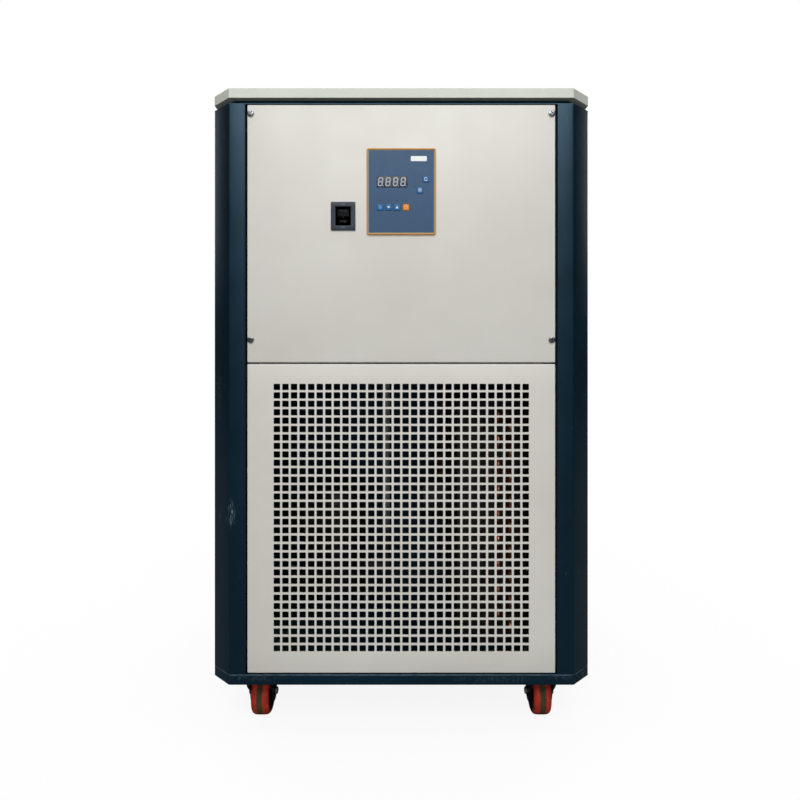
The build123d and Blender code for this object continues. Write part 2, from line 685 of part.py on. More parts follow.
# Electrical box: a folded enclosure with a lid, beside the tank
BOX_X = 230.0
BOX_NEAR = 60.0
BOX_FAR = 190.0
BOX_W = 120.0
BOX_TOP = 880.0
BOX_LAP = 2.0
BOX_CLEAR = 6.0
with BuildPart() as electrical_box:
    with BuildSketch(Plane((BOX_X, back((BOX_NEAR + BOX_FAR) / 2), DECK_TOP))):
        Rectangle(BOX_W, BOX_FAR - BOX_NEAR)
    extrude(amount=BOX_TOP - DECK_TOP)
    with BuildSketch(front_plane(BOX_X, (DECK_TOP + BOX_TOP + BOX_CLEAR) / 2, BOX_NEAR)):
        Rectangle(BOX_W + 2 * BOX_LAP, BOX_TOP - DECK_TOP - BOX_CLEAR)
    extrude(amount=SHEET)
save(electrical_box, "electrical_box")

# Compressor: a welded shell with a stepped dome and a seam on a foot plate, and its rubber mounts
MOUNT_TOP = 112.0
PLATE_T = 3.0
SHELL_SEAM = 230.0
SEAM_REACH = 2.5
SHELL_SHOULDER = 305.0
DOME_RISE = 22.0
DOME_CROWN = 16.0
SHELL_TOP = SHELL_SHOULDER + DOME_RISE + DOME_CROWN
with BuildPart() as compressor:
    with BuildSketch(Plane((COMPRESSOR_X, back(COMPRESSOR_DEPTH), MOUNT_TOP))):
        Rectangle(FOOT_PLATE_W, FOOT_PLATE_D)
    extrude(amount=PLATE_T)
    with BuildSketch(Plane((COMPRESSOR_X, back(COMPRESSOR_DEPTH), MOUNT_TOP + PLATE_T))):
        RegularPolygon(COMPRESSOR_R, SHELL_SIDES)
    extrude(amount=SHELL_SHOULDER - MOUNT_TOP - PLATE_T)
    extrude(compressor.faces().sort_by(Axis.Z)[-1], amount=DOME_RISE, taper=15)
    extrude(compressor.faces().sort_by(Axis.Z)[-1], amount=DOME_CROWN, taper=45)
    with BuildSketch(Plane((COMPRESSOR_X, back(COMPRESSOR_DEPTH), SHELL_SEAM))):
        RegularPolygon(COMPRESSOR_R + SEAM_REACH, SHELL_SIDES)
    extrude(amount=PLATE_T)
save(compressor, "compressor")

with BuildPart() as compressor_mounts:
    with BuildSketch(Plane((COMPRESSOR_X, back(COMPRESSOR_DEPTH), PAN_TOP))):
        with GridLocations(MOUNT_SPACING_X, MOUNT_SPACING_Y, 2, 2):
            RegularPolygon(MOUNT_R, 12)
    extrude(amount=MOUNT_TOP - PAN_TOP)
save(compressor_mounts, "compressor_mounts")

# Condenser: a fin pack between two end plates, and the copper return bends at its front end
FIN_LEFT = COIL_X - 11.0
FIN_RIGHT = COIL_X + (COIL_ROWS - 1) * COIL_PITCH_X + 11.0
FIN_W = FIN_RIGHT - FIN_LEFT
FIN_LOW = 115.0
FIN_HIGH = 545.0
with BuildPart() as condenser_fins:
    with BuildSketch(front_plane((FIN_LEFT + FIN_RIGHT) / 2, (FIN_LOW + FIN_HIGH) / 2, COIL_NEAR)):
        Rectangle(FIN_W, FIN_HIGH - FIN_LOW)
    extrude(amount=COIL_NEAR - COIL_FAR)
save(condenser_fins, "condenser_fins")

with BuildPart() as condenser_end_plates:
    for depth in (COIL_NEAR, COIL_FAR + SHEET):
        with BuildSketch(front_plane((FIN_LEFT + FIN_RIGHT) / 2, (PAN_TOP + FIN_HIGH) / 2, depth)):
            Rectangle(FIN_W, FIN_HIGH - PAN_TOP)
        extrude(amount=SHEET)
save(condenser_end_plates, "condenser_end_plates")

BEND_REACH = 18.0
with BuildPart() as return_bend:
    with BuildLine():
        Polyline(
            (0, 0, 0),
            (0, -BEND_REACH, 0),
            (0, -BEND_REACH, COIL_PITCH_Z),
            (0, 0, COIL_PITCH_Z),
        )
    with BuildSketch(Plane.XZ):
        RegularPolygon(COIL_TUBE_R, 6)
    sweep(transition=Transition.RIGHT)

with BuildPart() as condenser_bends:
    for column in range(COIL_ROWS):
        stagger = COIL_PITCH_Z * (column % 2)
        for level in range(COIL_BENDS):
            with Locations((
                COIL_X + column * COIL_PITCH_X,
                back(COIL_NEAR - SHEET),
                COIL_LOW + stagger + 2 * level * COIL_PITCH_Z,
            )):
                add(return_bend.part)
save(condenser_bends, "condenser_bends")

# Fan: a shroud box on the fin pack's inner face, a motor on a strap, and five pitched blades
SHROUD_LEFT = 101.0
with BuildPart() as fan_shroud:
    with BuildSketch(side_plane(SHROUD_LEFT, FAN_DEPTH, FAN_Z)):
        Rectangle(COIL_FAR - COIL_NEAR, FIN_HIGH - FIN_LOW)
    extrude(amount=FIN_LEFT - SHROUD_LEFT)
    offset(amount=-SHEET, openings=fan_shroud.faces().sort_by(Axis.X)[-1])
    with BuildSketch(side_plane(SHROUD_LEFT, FAN_DEPTH, FAN_Z)):
        Circle(FAN_R + 4)
    extrude(amount=SHEET, mode=Mode.SUBTRACT)
save(fan_shroud, "fan_shroud")

MOTOR_LEFT = 45.0
STRAP_T = 2.0
STRAP_W = 30.0
STRAP_H = 2 * FAN_R + 50
SHAFT_R = 4.0
SHAFT_IN_MOTOR = 25.0
with BuildPart() as fan_motor:
    with BuildSketch(side_plane(SHROUD_LEFT - STRAP_T, FAN_DEPTH, FAN_Z)):
        Rectangle(STRAP_W, STRAP_H)
    extrude(amount=STRAP_T)
    with BuildSketch(side_plane(MOTOR_LEFT, FAN_DEPTH, FAN_Z)):
        RegularPolygon(FAN_MOTOR_R, 16)
    extrude(amount=SHROUD_LEFT - STRAP_T - MOTOR_LEFT)
    with BuildSketch(side_plane(SHROUD_LEFT, FAN_DEPTH, FAN_Z)):
        Circle(SHAFT_R + SHAFT_GAP)
    extrude(amount=-SHAFT_IN_MOTOR - 5, mode=Mode.SUBTRACT)
save(fan_motor, "fan_motor")

HUB_R = 25.0
HUB_W = 26.0
BLADES = 5
BLADE_PITCH = 25.0
BLADE_W = 64.0
BLADE_T = 2.0
FAN_MID_X = 119.0
with BuildPart() as fan_blades:
    with BuildSketch(side_plane(FAN_MID_X - HUB_W / 2, FAN_DEPTH, FAN_Z)):
        Circle(HUB_R)
    extrude(amount=HUB_W)
    with BuildSketch(side_plane(SHROUD_LEFT - SHAFT_IN_MOTOR, FAN_DEPTH, FAN_Z)):
        Circle(SHAFT_R)
    extrude(amount=FAN_MID_X - SHROUD_LEFT + SHAFT_IN_MOTOR)
    for blade in range(BLADES):
        pitched = side_plane(FAN_MID_X, FAN_DEPTH, FAN_Z).rotated((0, 0, BLADE_PITCH))
        turned = pitched.rotated((blade * 360 / BLADES, 0, 0))
        with BuildSketch(turned):
            Circle(FAN_R - 1)
            with Locations((0, FAN_R)):
                Rectangle(BLADE_W, 2 * (FAN_R - HUB_R + 8), mode=Mode.INTERSECT)
        extrude(amount=BLADE_T / 2, both=True)
save(fan_blades, "fan_blades")

# Refrigerant pipes, mitred at their elbows, and the filter drier
LINE_X = 100.0
LINE_DEPTH = 515.0
LINE_LOW = 140.0
LINE_HIGH = 660.0
DRIER_LOW = 300.0
DRIER_HIGH = 400.0
OUTLET_X = 184.0
with BuildPart() as filter_drier:
    with BuildSketch(Plane((LINE_X, back(LINE_DEPTH), DRIER_LOW))):
        RegularPolygon(DRIER_R, 16)
    extrude(amount=DRIER_HIGH - DRIER_LOW)
    chamfer(filter_drier.faces().filter_by(Axis.Z).edges(), DRIER_R / 2)
save(filter_drier, "filter_drier")

with BuildPart() as liquid_pipe:
    with BuildLine():
        Polyline(
            (OUTLET_X, back(COIL_FAR + SHEET), LINE_LOW),
            (OUTLET_X, back(LINE_DEPTH), LINE_LOW),
            (LINE_X, back(LINE_DEPTH), LINE_LOW),
            (LINE_X, back(LINE_DEPTH), DRIER_LOW),
        )
    with BuildSketch(rear_plane(OUTLET_X, LINE_LOW, COIL_FAR + SHEET)):
        Circle(COIL_TUBE_R)
    sweep(transition=Transition.RIGHT)
    with BuildLine():
        Polyline(
            (LINE_X, back(LINE_DEPTH), DRIER_HIGH),
            (LINE_X, back(LINE_DEPTH), LINE_HIGH),
            (LINE_X, back(EVAP_FAR), LINE_HIGH),
        )
    with BuildSketch(Plane((LINE_X, back(LINE_DEPTH), DRIER_HIGH))):
        Circle(COIL_TUBE_R)
    sweep(transition=Transition.RIGHT)
save(liquid_pipe, "liquid_pipe")

DISCHARGE_DEPTH = 380.0
DISCHARGE_Z = 570.0
with BuildPart() as discharge_pipe:
    with BuildLine():
        Polyline(
            (COMPRESSOR_X, back(DISCHARGE_DEPTH), SHELL_TOP),
            (COMPRESSOR_X, back(DISCHARGE_DEPTH), DISCHARGE_Z),
            (OUTLET_X, back(DISCHARGE_DEPTH), DISCHARGE_Z),
            (OUTLET_X, back(DISCHARGE_DEPTH), FIN_HIGH),
        )
    with BuildSketch(Plane((COMPRESSOR_X, back(DISCHARGE_DEPTH), SHELL_TOP))):
        Circle(COIL_TUBE_R)
    sweep(transition=Transition.RIGHT)
save(discharge_pipe, "discharge_pipe")

SUCTION_TOP = 630.0
SUCTION_START = COMPRESSOR_X + COMPRESSOR_R - 3
with BuildPart() as suction_pipe:
    with BuildLine():
        Polyline(
            (SUCTION_START, back(COMPRESSOR_DEPTH), SUCTION_Z),
            (SUCTION_X, back(COMPRESSOR_DEPTH), SUCTION_Z),
            (SUCTION_X, back(COMPRESSOR_DEPTH), SUCTION_TOP),
            (EVAP_X - EVAP_W / 2, back(COMPRESSOR_DEPTH), SUCTION_TOP),
        )
    with BuildSketch(side_plane(SUCTION_START, COMPRESSOR_DEPTH, SUCTION_Z)):
        Circle(PIPE_R)
    sweep(transition=Transition.RIGHT)
    add(compressor.part, mode=Mode.SUBTRACT)
save(suction_pipe, "suction_pipe")

# Casters: a swivel head bolted through the pan, a stamped fork with its axle, and a wheel
HEAD_LOW = 90.3
CROWN_TOP = 90.0
CROWN_R = 30.0
CROWN_SIDES = 32
CROWN_RIM = 87.0
CROWN_LOW = 79.0
FORK_TOP = 84.0
KING_R = 5.0
STUD_NUT_R = 10.5
STUD_NUT_H = 8.0
AXLE_HEAD_R = 7.5
AXLE_HEAD_H = 6.0
LEG_NEAR = -18.0
LEG_FAR = 28.0
SHOULDER = 3.0
PLACES = {
    "front_left": (-CASTER_X, CASTER_NEAR),
    "front_right": (CASTER_X, CASTER_NEAR),
    "rear_left": (-CASTER_X, CASTER_FAR),
    "rear_right": (CASTER_X, CASTER_FAR),
}
with BuildPart() as caster_heads:
    for head_x, head_depth in PLACES.values():
        with BuildSketch(Plane((head_x, back(head_depth), HEAD_LOW))):
            RegularPolygon(CROWN_R, CROWN_SIDES)
        extrude(amount=PAN_TOP - SHEET - HEAD_LOW)
        with BuildSketch(Plane((head_x, back(head_depth), FORK_TOP))):
            Circle(KING_R)
        extrude(amount=HEAD_LOW - FORK_TOP)
        with BuildSketch(Plane((head_x, back(head_depth), PAN_TOP - SHEET))):
            RegularPolygon(STUD_R, SCREW_SIDES)
        extrude(amount=SHEET)
        with BuildSketch(Plane((head_x, back(head_depth), PAN_TOP))):
            RegularPolygon(STUD_NUT_R, 6)
        extrude(amount=STUD_NUT_H)
save(caster_heads, "caster_heads")

for place, (swivel_x, swivel_depth) in PLACES.items():
    axle_plane = side_plane(swivel_x, swivel_depth + TRAIL, WHEEL_R)
    with BuildPart() as fork:
        with BuildSketch(side_plane(swivel_x, swivel_depth, 0)):
            with BuildLine():
                Polyline(
                    (LEG_NEAR, FORK_TOP),
                    (LEG_FAR, FORK_TOP),
                    (TRAIL + LEG_END_R, WHEEL_R),
                    (TRAIL - LEG_TUCK, WHEEL_R - LEG_DROP),
                    (LEG_NEAR, FORK_TOP - 10),
                    close=True,
                )
            make_face()
            with Locations((TRAIL, WHEEL_R)):
                Circle(LEG_END_R)
        extrude(amount=FORK_INNER + FORK_SHEET, both=True)
        with BuildSketch(Plane((swivel_x, back(swivel_depth), FORK_TOP - FORK_SHEET))):
            Rectangle(2 * FORK_INNER, 4 * WHEEL_R)
        extrude(amount=-FORK_TOP, mode=Mode.SUBTRACT)
        with BuildSketch(Plane((swivel_x, back(swivel_depth), CROWN_TOP))):
            RegularPolygon(CROWN_R, CROWN_SIDES)
        extrude(amount=CROWN_RIM - CROWN_TOP)
        with BuildSketch(Plane((swivel_x, back(swivel_depth), CROWN_RIM))):
            RegularPolygon(CROWN_R, CROWN_SIDES)
        extrude(amount=CROWN_LOW - CROWN_RIM, taper=33)
        with BuildSketch(Plane((swivel_x, back(swivel_depth), CROWN_TOP))):
            Circle(KING_R + SHAFT_GAP)
        extrude(amount=FORK_TOP - CROWN_TOP - 1, mode=Mode.SUBTRACT)
        with BuildSketch(axle_plane):
            Circle(AXLE_R)
        extrude(amount=FORK_INNER + FORK_SHEET, both=True)
        for outward in (-1, 1):
            with BuildSketch(axle_plane.offset(outward * (FORK_INNER + FORK_SHEET))):
                RegularPolygon(AXLE_HEAD_R, 6)
            extrude(amount=outward * AXLE_HEAD_H)
    save(fork, f"{place}_fork")

    with BuildPart() as wheel:
        with BuildSketch(front_plane(swivel_x, WHEEL_R, swivel_depth + TRAIL)):
            with BuildLine():
                Polyline(
                    (0, AXLE_R + BORE_GAP),
                    (WHEEL_W / 2, AXLE_R + BORE_GAP),
                    (WHEEL_W / 2, WHEEL_R - SHOULDER),
                    (WHEEL_W / 2 - SHOULDER, WHEEL_R),
                    (0, WHEEL_R),
                )
                mirror(about=Plane.YZ)
            make_face()
        revolve(axis=Axis((swivel_x, back(swivel_depth + TRAIL), WHEEL_R), (1, 0, 0)))
    save(wheel, f"{place}_wheel")
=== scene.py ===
import json
import logging
import math
from dataclasses import dataclass, field
from enum import Enum
from typing import Any, Callable, Iterable, Optional, Protocol, Sequence

import bmesh
import bpy
from mathutils import Matrix, Vector


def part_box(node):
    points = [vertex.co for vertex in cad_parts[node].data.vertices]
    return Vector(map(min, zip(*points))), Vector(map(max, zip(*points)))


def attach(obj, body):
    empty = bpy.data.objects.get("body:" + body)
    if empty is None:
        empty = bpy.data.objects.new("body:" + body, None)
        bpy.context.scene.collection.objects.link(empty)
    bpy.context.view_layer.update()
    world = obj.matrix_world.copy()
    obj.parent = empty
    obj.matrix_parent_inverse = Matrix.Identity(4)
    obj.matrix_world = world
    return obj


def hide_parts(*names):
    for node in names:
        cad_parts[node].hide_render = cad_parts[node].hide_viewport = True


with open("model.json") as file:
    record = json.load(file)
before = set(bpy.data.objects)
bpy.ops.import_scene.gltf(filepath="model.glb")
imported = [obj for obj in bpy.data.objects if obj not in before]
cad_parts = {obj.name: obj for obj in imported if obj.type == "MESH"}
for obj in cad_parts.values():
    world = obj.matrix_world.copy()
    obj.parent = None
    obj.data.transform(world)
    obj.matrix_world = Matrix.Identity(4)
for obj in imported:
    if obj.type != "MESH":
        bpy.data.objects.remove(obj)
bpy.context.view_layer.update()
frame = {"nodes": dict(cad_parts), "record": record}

# A floor-standing recirculating chiller, seen square on from the front. Sizes are in millimetres, in
# the frame of the model: +Z up, the front faces -Y, and a depth is counted back from the plane of the
# front panels.

LOG = logging.getLogger("chiller")

FRONT_Y = -296.4
MID_Y = -21.4
DEPTH = 550.0
WIDTH = 630.0
CORNER = 33.0
SHEET = 1.5
X_AXIS = Vector((1, 0, 0))
Y_AXIS = Vector((0, 1, 0))
Z_AXIS = Vector((0, 0, 1))
FRONTWARD = Vector((0, -1, 0))
REARWARD = Vector((0, 1, 0))
# Stands a drawing made on XY across the cabinet: its X becomes Y, its Y becomes Z and its Z becomes X
SIDE_ON = Matrix(((0, 0, 1, 0), (1, 0, 0, 0), (0, 1, 0, 0), (0, 0, 0, 1)))
# How far printed ink stands proud
INK_T = 0.04


class Slot(Enum):
    """The record's material slots, one passed with each new piece."""

    PANEL = "panel_enamel"
    SHELL = "shell_enamel"
    SCREW = "bright_zinc"
    PLASTIC = "black_abs"
    BEZEL = "bezel_amber"
    OVERLAY = "overlay_blue"
    WINDOW = "window_smoke"
    KEY_BLUE = "key_blue"
    KEY_ORANGE = "key_orange"
    STAINLESS = "stainless"
    COPPER = "copper"
    BRASS = "valve_brass"
    LEVER = "lever_red"
    CASTER = "caster_black"
    TREAD = "tread_red"
    RUBBER = "mount_rubber"


class Facing(Enum):
    """The side of the cabinet that a panel closes."""

    FRONT = "front"
    REAR = "rear"


def at(x: float, depth: float, z: float) -> Vector:
    """A point given by its place across, its depth behind the front panels and its height.

    Args:
        x: Place to the right of the middle.
        depth: Depth behind the plane of the front panels.
        z: Height above the floor.

    Returns:
        The point in the frame, in millimetres.
    """
    return Vector((x, FRONT_Y + depth, z))


def linear(hex_colour: str, alpha: float = 1.0) -> tuple[float, float, float, float]:
    """Turns an sRGB hex value into a linear colour.

    Args:
        hex_colour: Six hex digits, with or without a leading #.
        alpha: Opacity of the colour.

    Returns:
        Linear red, green and blue, with the opacity last.
    """
    digits = hex_colour.lstrip("#")
    parts = [int(digits[place:place + 2], 16) / 255 for place in (0, 2, 4)]
    red, green, blue = (
        part / 12.92 if part <= 0.04045 else ((part + 0.055) / 1.055) ** 2.4 for part in parts)
    return (red, green, blue, alpha)


def per_metre(size_mm: float) -> float:
    """The scale of a pattern on Object coordinates whose features are this many millimetres apart."""
    return 1000.0 / size_mm


def add_node(
    tree: bpy.types.NodeTree,
    kind: str,
    settings: Optional[dict[str, Any]] = None,
    inputs: Optional[dict[Any, Any]] = None,
) -> bpy.types.Node:
    """Adds a node with its settings, values and links.

    Args:
        tree: The material's or the world's node tree.
        kind: Type of the node.
        settings: Properties of the node by name.
        inputs: By socket name or number, a value, or another node's output to link.

    Returns:
        The new node.
    """
    node = tree.nodes.new(kind)
    for name, value in (settings or {}).items():
        setattr(node, name, value)
    for socket, value in (inputs or {}).items():
        if isinstance(value, bpy.types.NodeSocket):
            tree.links.new(value, node.inputs[socket])
        else:
            node.inputs[socket].default_value = value
    return node


class Finish(Protocol):
    """Anything that can make a material."""

    name: str

    def material(self) -> bpy.types.Material:
        """The finished material."""


@dataclass
class Bench:
    """An empty material with its shader, its object coordinates and its output."""

    name: str
    tree: bpy.types.NodeTree = field(init=False)
    made: bpy.types.Material = field(init=False)
    shader: bpy.types.Node = field(init=False)
    place: bpy.types.NodeSocket = field(init=False)

    def __post_init__(self) -> None:
        """Makes the material and clears its default nodes."""
        self.made = bpy.data.materials.new(self.name)
        self.made.use_nodes = True
        self.tree = self.made.node_tree
        self.tree.nodes.clear()
        self.shader = add_node(self.tree, "ShaderNodeBsdfPrincipled")
        add_node(self.tree, "ShaderNodeOutputMaterial", inputs={"Surface": self.shader.outputs[0]})
        self.place = add_node(self.tree, "ShaderNodeTexCoord").outputs["Object"]

    def set(self, **values: Any) -> None:
        """Sets shader sockets by name, with underscores for spaces."""
        for name, value in values.items():
            self.shader.inputs[name.replace("_", " ")].default_value = value

    def link(self, name: str, source: bpy.types.NodeSocket) -> None:
        """Links an output to one of the shader's sockets."""
        self.tree.links.new(source, self.shader.inputs[name])

    def noise(self, size_mm: float, detail: float = 3.0, rough: float = 0.55,
              place: Optional[bpy.types.NodeSocket] = None) -> bpy.types.NodeSocket:
        """Noise whose features are about this large.

        Args:
            size_mm: Size of the features.
            detail: Number of finer layers.
            rough: Strength of the finer layers.
            place: Coordinates to use in place of the object's own.

        Returns:
            The noise value from 0 to 1.
        """
        return add_node(self.tree, "ShaderNodeTexNoise", inputs={
            "Vector": place or self.place, "Scale": per_metre(size_mm),
            "Detail": detail, "Roughness": rough,
        }).outputs["Fac"]

    def stretched(self, x: float, y: float, z: float) -> bpy.types.NodeSocket:
        """Object coordinates scaled apart along the axes, so that a pattern runs in one direction."""
        return add_node(self.tree, "ShaderNodeMapping", inputs={
            "Vector": self.place, "Scale": (x, y, z),
        }).outputs[0]

    def between(self, value: bpy.types.NodeSocket, low: float, high: float,
                to_low: float = 0.0, to_high: float = 1.0) -> bpy.types.NodeSocket:
        """Maps a value from one range to another, with both ends held.

        Args:
            value: The value to map.
            low: Start of the range read.
            high: End of the range read.
            to_low: What the start becomes.
            to_high: What the end becomes.

        Returns:
            The mapped value.
        """
        return add_node(self.tree, "ShaderNodeMapRange", inputs={
            "Value": value, "From Min": low, "From Max": high, "To Min": to_low, "To Max": to_high,
        }).outputs[0]

    def math(self, operation: str, first: Any, second: Any = 0.0) -> bpy.types.NodeSocket:
        """One arithmetic step on two values."""
        node = add_node(self.tree, "ShaderNodeMath", {"operation": operation}, {0: first, 1: second})
        return node.outputs[0]

    def mix(self, share: Any, first: Any, second: Any) -> bpy.types.NodeSocket:
        """Mixes two colours by a share from 0 to 1."""
        return add_node(self.tree, "ShaderNodeMix", {"data_type": "RGBA"}, {
            "Factor": share, 6: first, 7: second,
        }).outputs[2]

    def bump(self, height: bpy.types.NodeSocket, depth_mm: float, strength: float = 1.0,
             under: Optional[bpy.types.NodeSocket] = None) -> bpy.types.NodeSocket:
        """Relief of this depth, which may lie over a coarser relief.

        Args:
            height: The relief, from 0 to 1.
            depth_mm: Its depth.
            strength: How far it turns the light.
            under: A normal that it is added to.

        Returns:
            The changed normal.
        """
        inputs: dict[Any, Any] = {"Height": height, "Distance": depth_mm / 1000, "Strength": strength}
        if under is not None:
            inputs["Normal"] = under
        return add_node(self.tree, "ShaderNodeBump", inputs=inputs).outputs[0]


@dataclass(frozen=True)
class Scuff:
    """A patch of fine scratches: its middle and its half size, in millimetres in the frame."""

    middle: tuple[float, float, float]
    reach: tuple[float, float, float]
    strength: float = 0.75


@dataclass(frozen=True)
class PowderCoat:
    """Baked powder enamel on folded sheet: a faint orange peel, soft gloss and handling marks, with a pale band
    at one height that is a painted highlight.
    """

    name: str
    colour: str
    soiled: str
    scratch_and_highlight: str
    roughness: float = 0.42
    peel_mm: float = 2.6
    shine: float = 0.5
    shine_tint: str = "#FFFFFF"
    scuffs: tuple[Scuff, ...] = ()
    wear: float = 0.5
    # Height in millimetres of a broken pale band painted on as a highlight, or None for no band
    painted_highlight_z: Optional[float] = None

    def patch(self, bench: Bench, scuff: Scuff) -> bpy.types.NodeSocket:
        """A soft mask that is 1 in the middle of a scuffed patch.

        Args:
            bench: The material under work.
            scuff: The patch.

        Returns:
            The mask.
        """
        moved = add_node(bench.tree, "ShaderNodeMapping", inputs={
            "Vector": bench.place,
            "Location": tuple(-m / r for m, r in zip(scuff.middle, scuff.reach)),
            "Scale": tuple(1000 / r for r in scuff.reach),
        }).outputs[0]
        away = add_node(bench.tree, "ShaderNodeVectorMath", {"operation": "LENGTH"}, {0: moved})
        return bench.between(away.outputs["Value"], 1.0, 0.5)

    def material(self) -> bpy.types.Material:
        """Colour drifts slightly over the sheet, with fine scratches where hands and trolleys touch it and a
        painted highlight band where one is given.
        """
        bench = Bench(self.name)
        drift = bench.between(bench.noise(170, 3), 0.35, 0.7, 0.0, 0.85)
        colour = bench.mix(drift, linear(self.colour), linear(self.soiled))
        streaks = bench.noise(1.0, 2, 0.6, bench.stretched(0.55, 0.55, 0.035))
        thin = bench.between(streaks, 0.69, 0.73)
        sparse = bench.between(bench.noise(60, 2), 0.56, 0.68)
        scratches_and_highlight = bench.math("MULTIPLY", bench.math("MULTIPLY", thin, sparse), self.wear)
        for scuff in self.scuffs:
            hatch = bench.between(bench.noise(1.7, 3, 0.7, bench.stretched(1.0, 1.0, 0.22)), 0.52, 0.62)
            local = bench.math("MULTIPLY", hatch, self.patch(bench, scuff))
            scratches_and_highlight = bench.math("MAXIMUM", scratches_and_highlight, bench.math("MULTIPLY", local, scuff.strength))
        # A broken pale band at one height is a painted highlight, standing for the light caught by a rounded
        # fold
        if self.painted_highlight_z is not None:
            height = add_node(bench.tree, "ShaderNodeSeparateXYZ", inputs={0: bench.place}).outputs["Z"]
            away = bench.math("ABSOLUTE", bench.math("SUBTRACT", height, self.painted_highlight_z / 1000))
            line = bench.between(away, 0.0010, 0.0005)
            highlight_strength = bench.between(bench.noise(14, 3, 0.7), 0.38, 0.6, 0.08, 0.3)
            scratches_and_highlight = bench.math("MAXIMUM", scratches_and_highlight, bench.math("MULTIPLY", line, highlight_strength))
        bench.link("Base Color", bench.mix(scratches_and_highlight, colour, linear(self.scratch_and_highlight)))
        gloss = bench.between(bench.noise(45, 4), 0.3, 0.7, self.roughness - 0.04, self.roughness + 0.06)
        bench.link("Roughness", bench.math("ADD", gloss, bench.math("MULTIPLY", scratches_and_highlight, 0.2)))
        bench.link("Normal", bench.bump(bench.noise(self.peel_mm, 1, 0.4), 0.03, 0.35))
        bench.set(Specular_IOR_Level=self.shine, Specular_Tint=linear(self.shine_tint))
        return bench.made


@dataclass(frozen=True)
class Galvanised:
    """Hot-dip zinc on sheet steel: grey crystals of many tones with a dull metal gloss."""

    name: str
    pale: str = "#A9AEB0"
    dark: str = "#7F868A"
    roughness: float = 0.45

    def material(self) -> bpy.types.Material:
        """Each spangle keeps one tone, and a finer noise dulls it."""
        bench = Bench(self.name)
        spangle = add_node(bench.tree, "ShaderNodeTexVoronoi", inputs={
            "Vector": bench.place, "Scale": per_metre(9.0),
        }).outputs["Color"]
        tone = add_node(bench.tree, "ShaderNodeRGBToBW", inputs={0: spangle}).outputs[0]
        bench.link("Base Color", bench.mix(tone, linear(self.dark), linear(self.pale)))
        bench.link("Roughness", bench.between(tone, 0.0, 1.0, self.roughness - 0.08, self.roughness + 0.12))
        bench.link("Normal", bench.bump(bench.noise(3.0, 3), 0.05, 0.25))
        bench.set(Metallic=0.85)
        return bench.made


@dataclass(frozen=True)
class BareMetal:
    """Plated, drawn or turned metal: a tinted reflection with a tarnish that gathers in patches."""

    name: str
    colour: str
    tarnish: str
    roughness: float = 0.28
    tarnish_share: float = 0.5
    patch_mm: float = 22.0
    grain: tuple[float, float, float] = (1.0, 1.0, 1.0)

    def material(self) -> bpy.types.Material:
        """Tarnish darkens and dulls the metal, and its grain follows how it was drawn or brushed."""
        bench = Bench(self.name)
        stain = bench.between(bench.noise(self.patch_mm, 4, 0.6), 0.42, 0.66, 0.0, self.tarnish_share)
        bench.link("Base Color", bench.mix(stain, linear(self.colour), linear(self.tarnish)))
        bench.link("Roughness", bench.math("ADD", bench.math("MULTIPLY", stain, 0.3), self.roughness))
        lines = bench.noise(0.9, 2, 0.6, bench.stretched(*self.grain))
        bench.link("Normal", bench.bump(lines, 0.012, 0.3))
        bench.set(Metallic=1.0)
        return bench.made


@dataclass(frozen=True)
class Moulded:
    """Moulded thermoplastic or rubber: an even colour with the mould's fine grain."""

    name: str
    colour: str
    dusty: str
    roughness: float = 0.45
    grain_mm: float = 0.8
    relief_mm: float = 0.02
    coat: float = 0.0

    def material(self) -> bpy.types.Material:
        """Dust pales it in patches, and the grain breaks up its highlight."""
        bench = Bench(self.name)
        dust = bench.between(bench.noise(35, 4, 0.6), 0.45, 0.75, 0.0, 0.6)
        bench.link("Base Color", bench.mix(dust, linear(self.colour), linear(self.dusty)))
        bench.link("Roughness", bench.between(bench.noise(12, 3), 0.3, 0.7, self.roughness - 0.05,
                                              self.roughness + 0.08))
        bench.link("Normal", bench.bump(bench.noise(self.grain_mm, 2, 0.5), self.relief_mm, 0.4))
        bench.set(IOR=1.5)
        if self.coat:
            bench.set(Coat_Weight=self.coat, Coat_Roughness=0.12)
        return bench.made


@dataclass(frozen=True)
class CellFoam:
    """Closed-cell insulation foam: matt, slightly dusty, with a skin of small pits."""

    name: str
    colour: str
    dusty: str
    cell_mm: float = 2.2
    bottom_colour: str = "#0B0B0A"
    darkest_below: float = 0.0
    darkening_span: float = 130.0

    def material(self) -> bpy.types.Material:
        """Pits of a cell's size break the flat skin."""
        bench = Bench(self.name)
        cells = add_node(bench.tree, "ShaderNodeTexVoronoi", inputs={
            "Vector": bench.place, "Scale": per_metre(self.cell_mm),
        }).outputs["Distance"]
        dust = bench.between(bench.noise(60, 4), 0.4, 0.7, 0.0, 0.7)
        colour = bench.mix(dust, linear(self.colour), linear(self.dusty))
        # Below a given height the colour darkens towards a near-black bottom colour
        if self.darkest_below:
            height = add_node(bench.tree, "ShaderNodeSeparateXYZ", inputs={0: bench.place}).outputs["Z"]
            darkening_from, darkest_from = (self.darkest_below + self.darkening_span) / 1000, self.darkest_below / 1000
            toward_bottom = bench.between(height, darkening_from, darkest_from, 0.0, 0.93)
            colour = bench.mix(toward_bottom, colour, linear(self.bottom_colour))
        bench.link("Base Color", colour)
        bench.link("Normal", bench.bump(cells, 0.25, 0.5))
        bench.set(Roughness=0.92)
        return bench.made


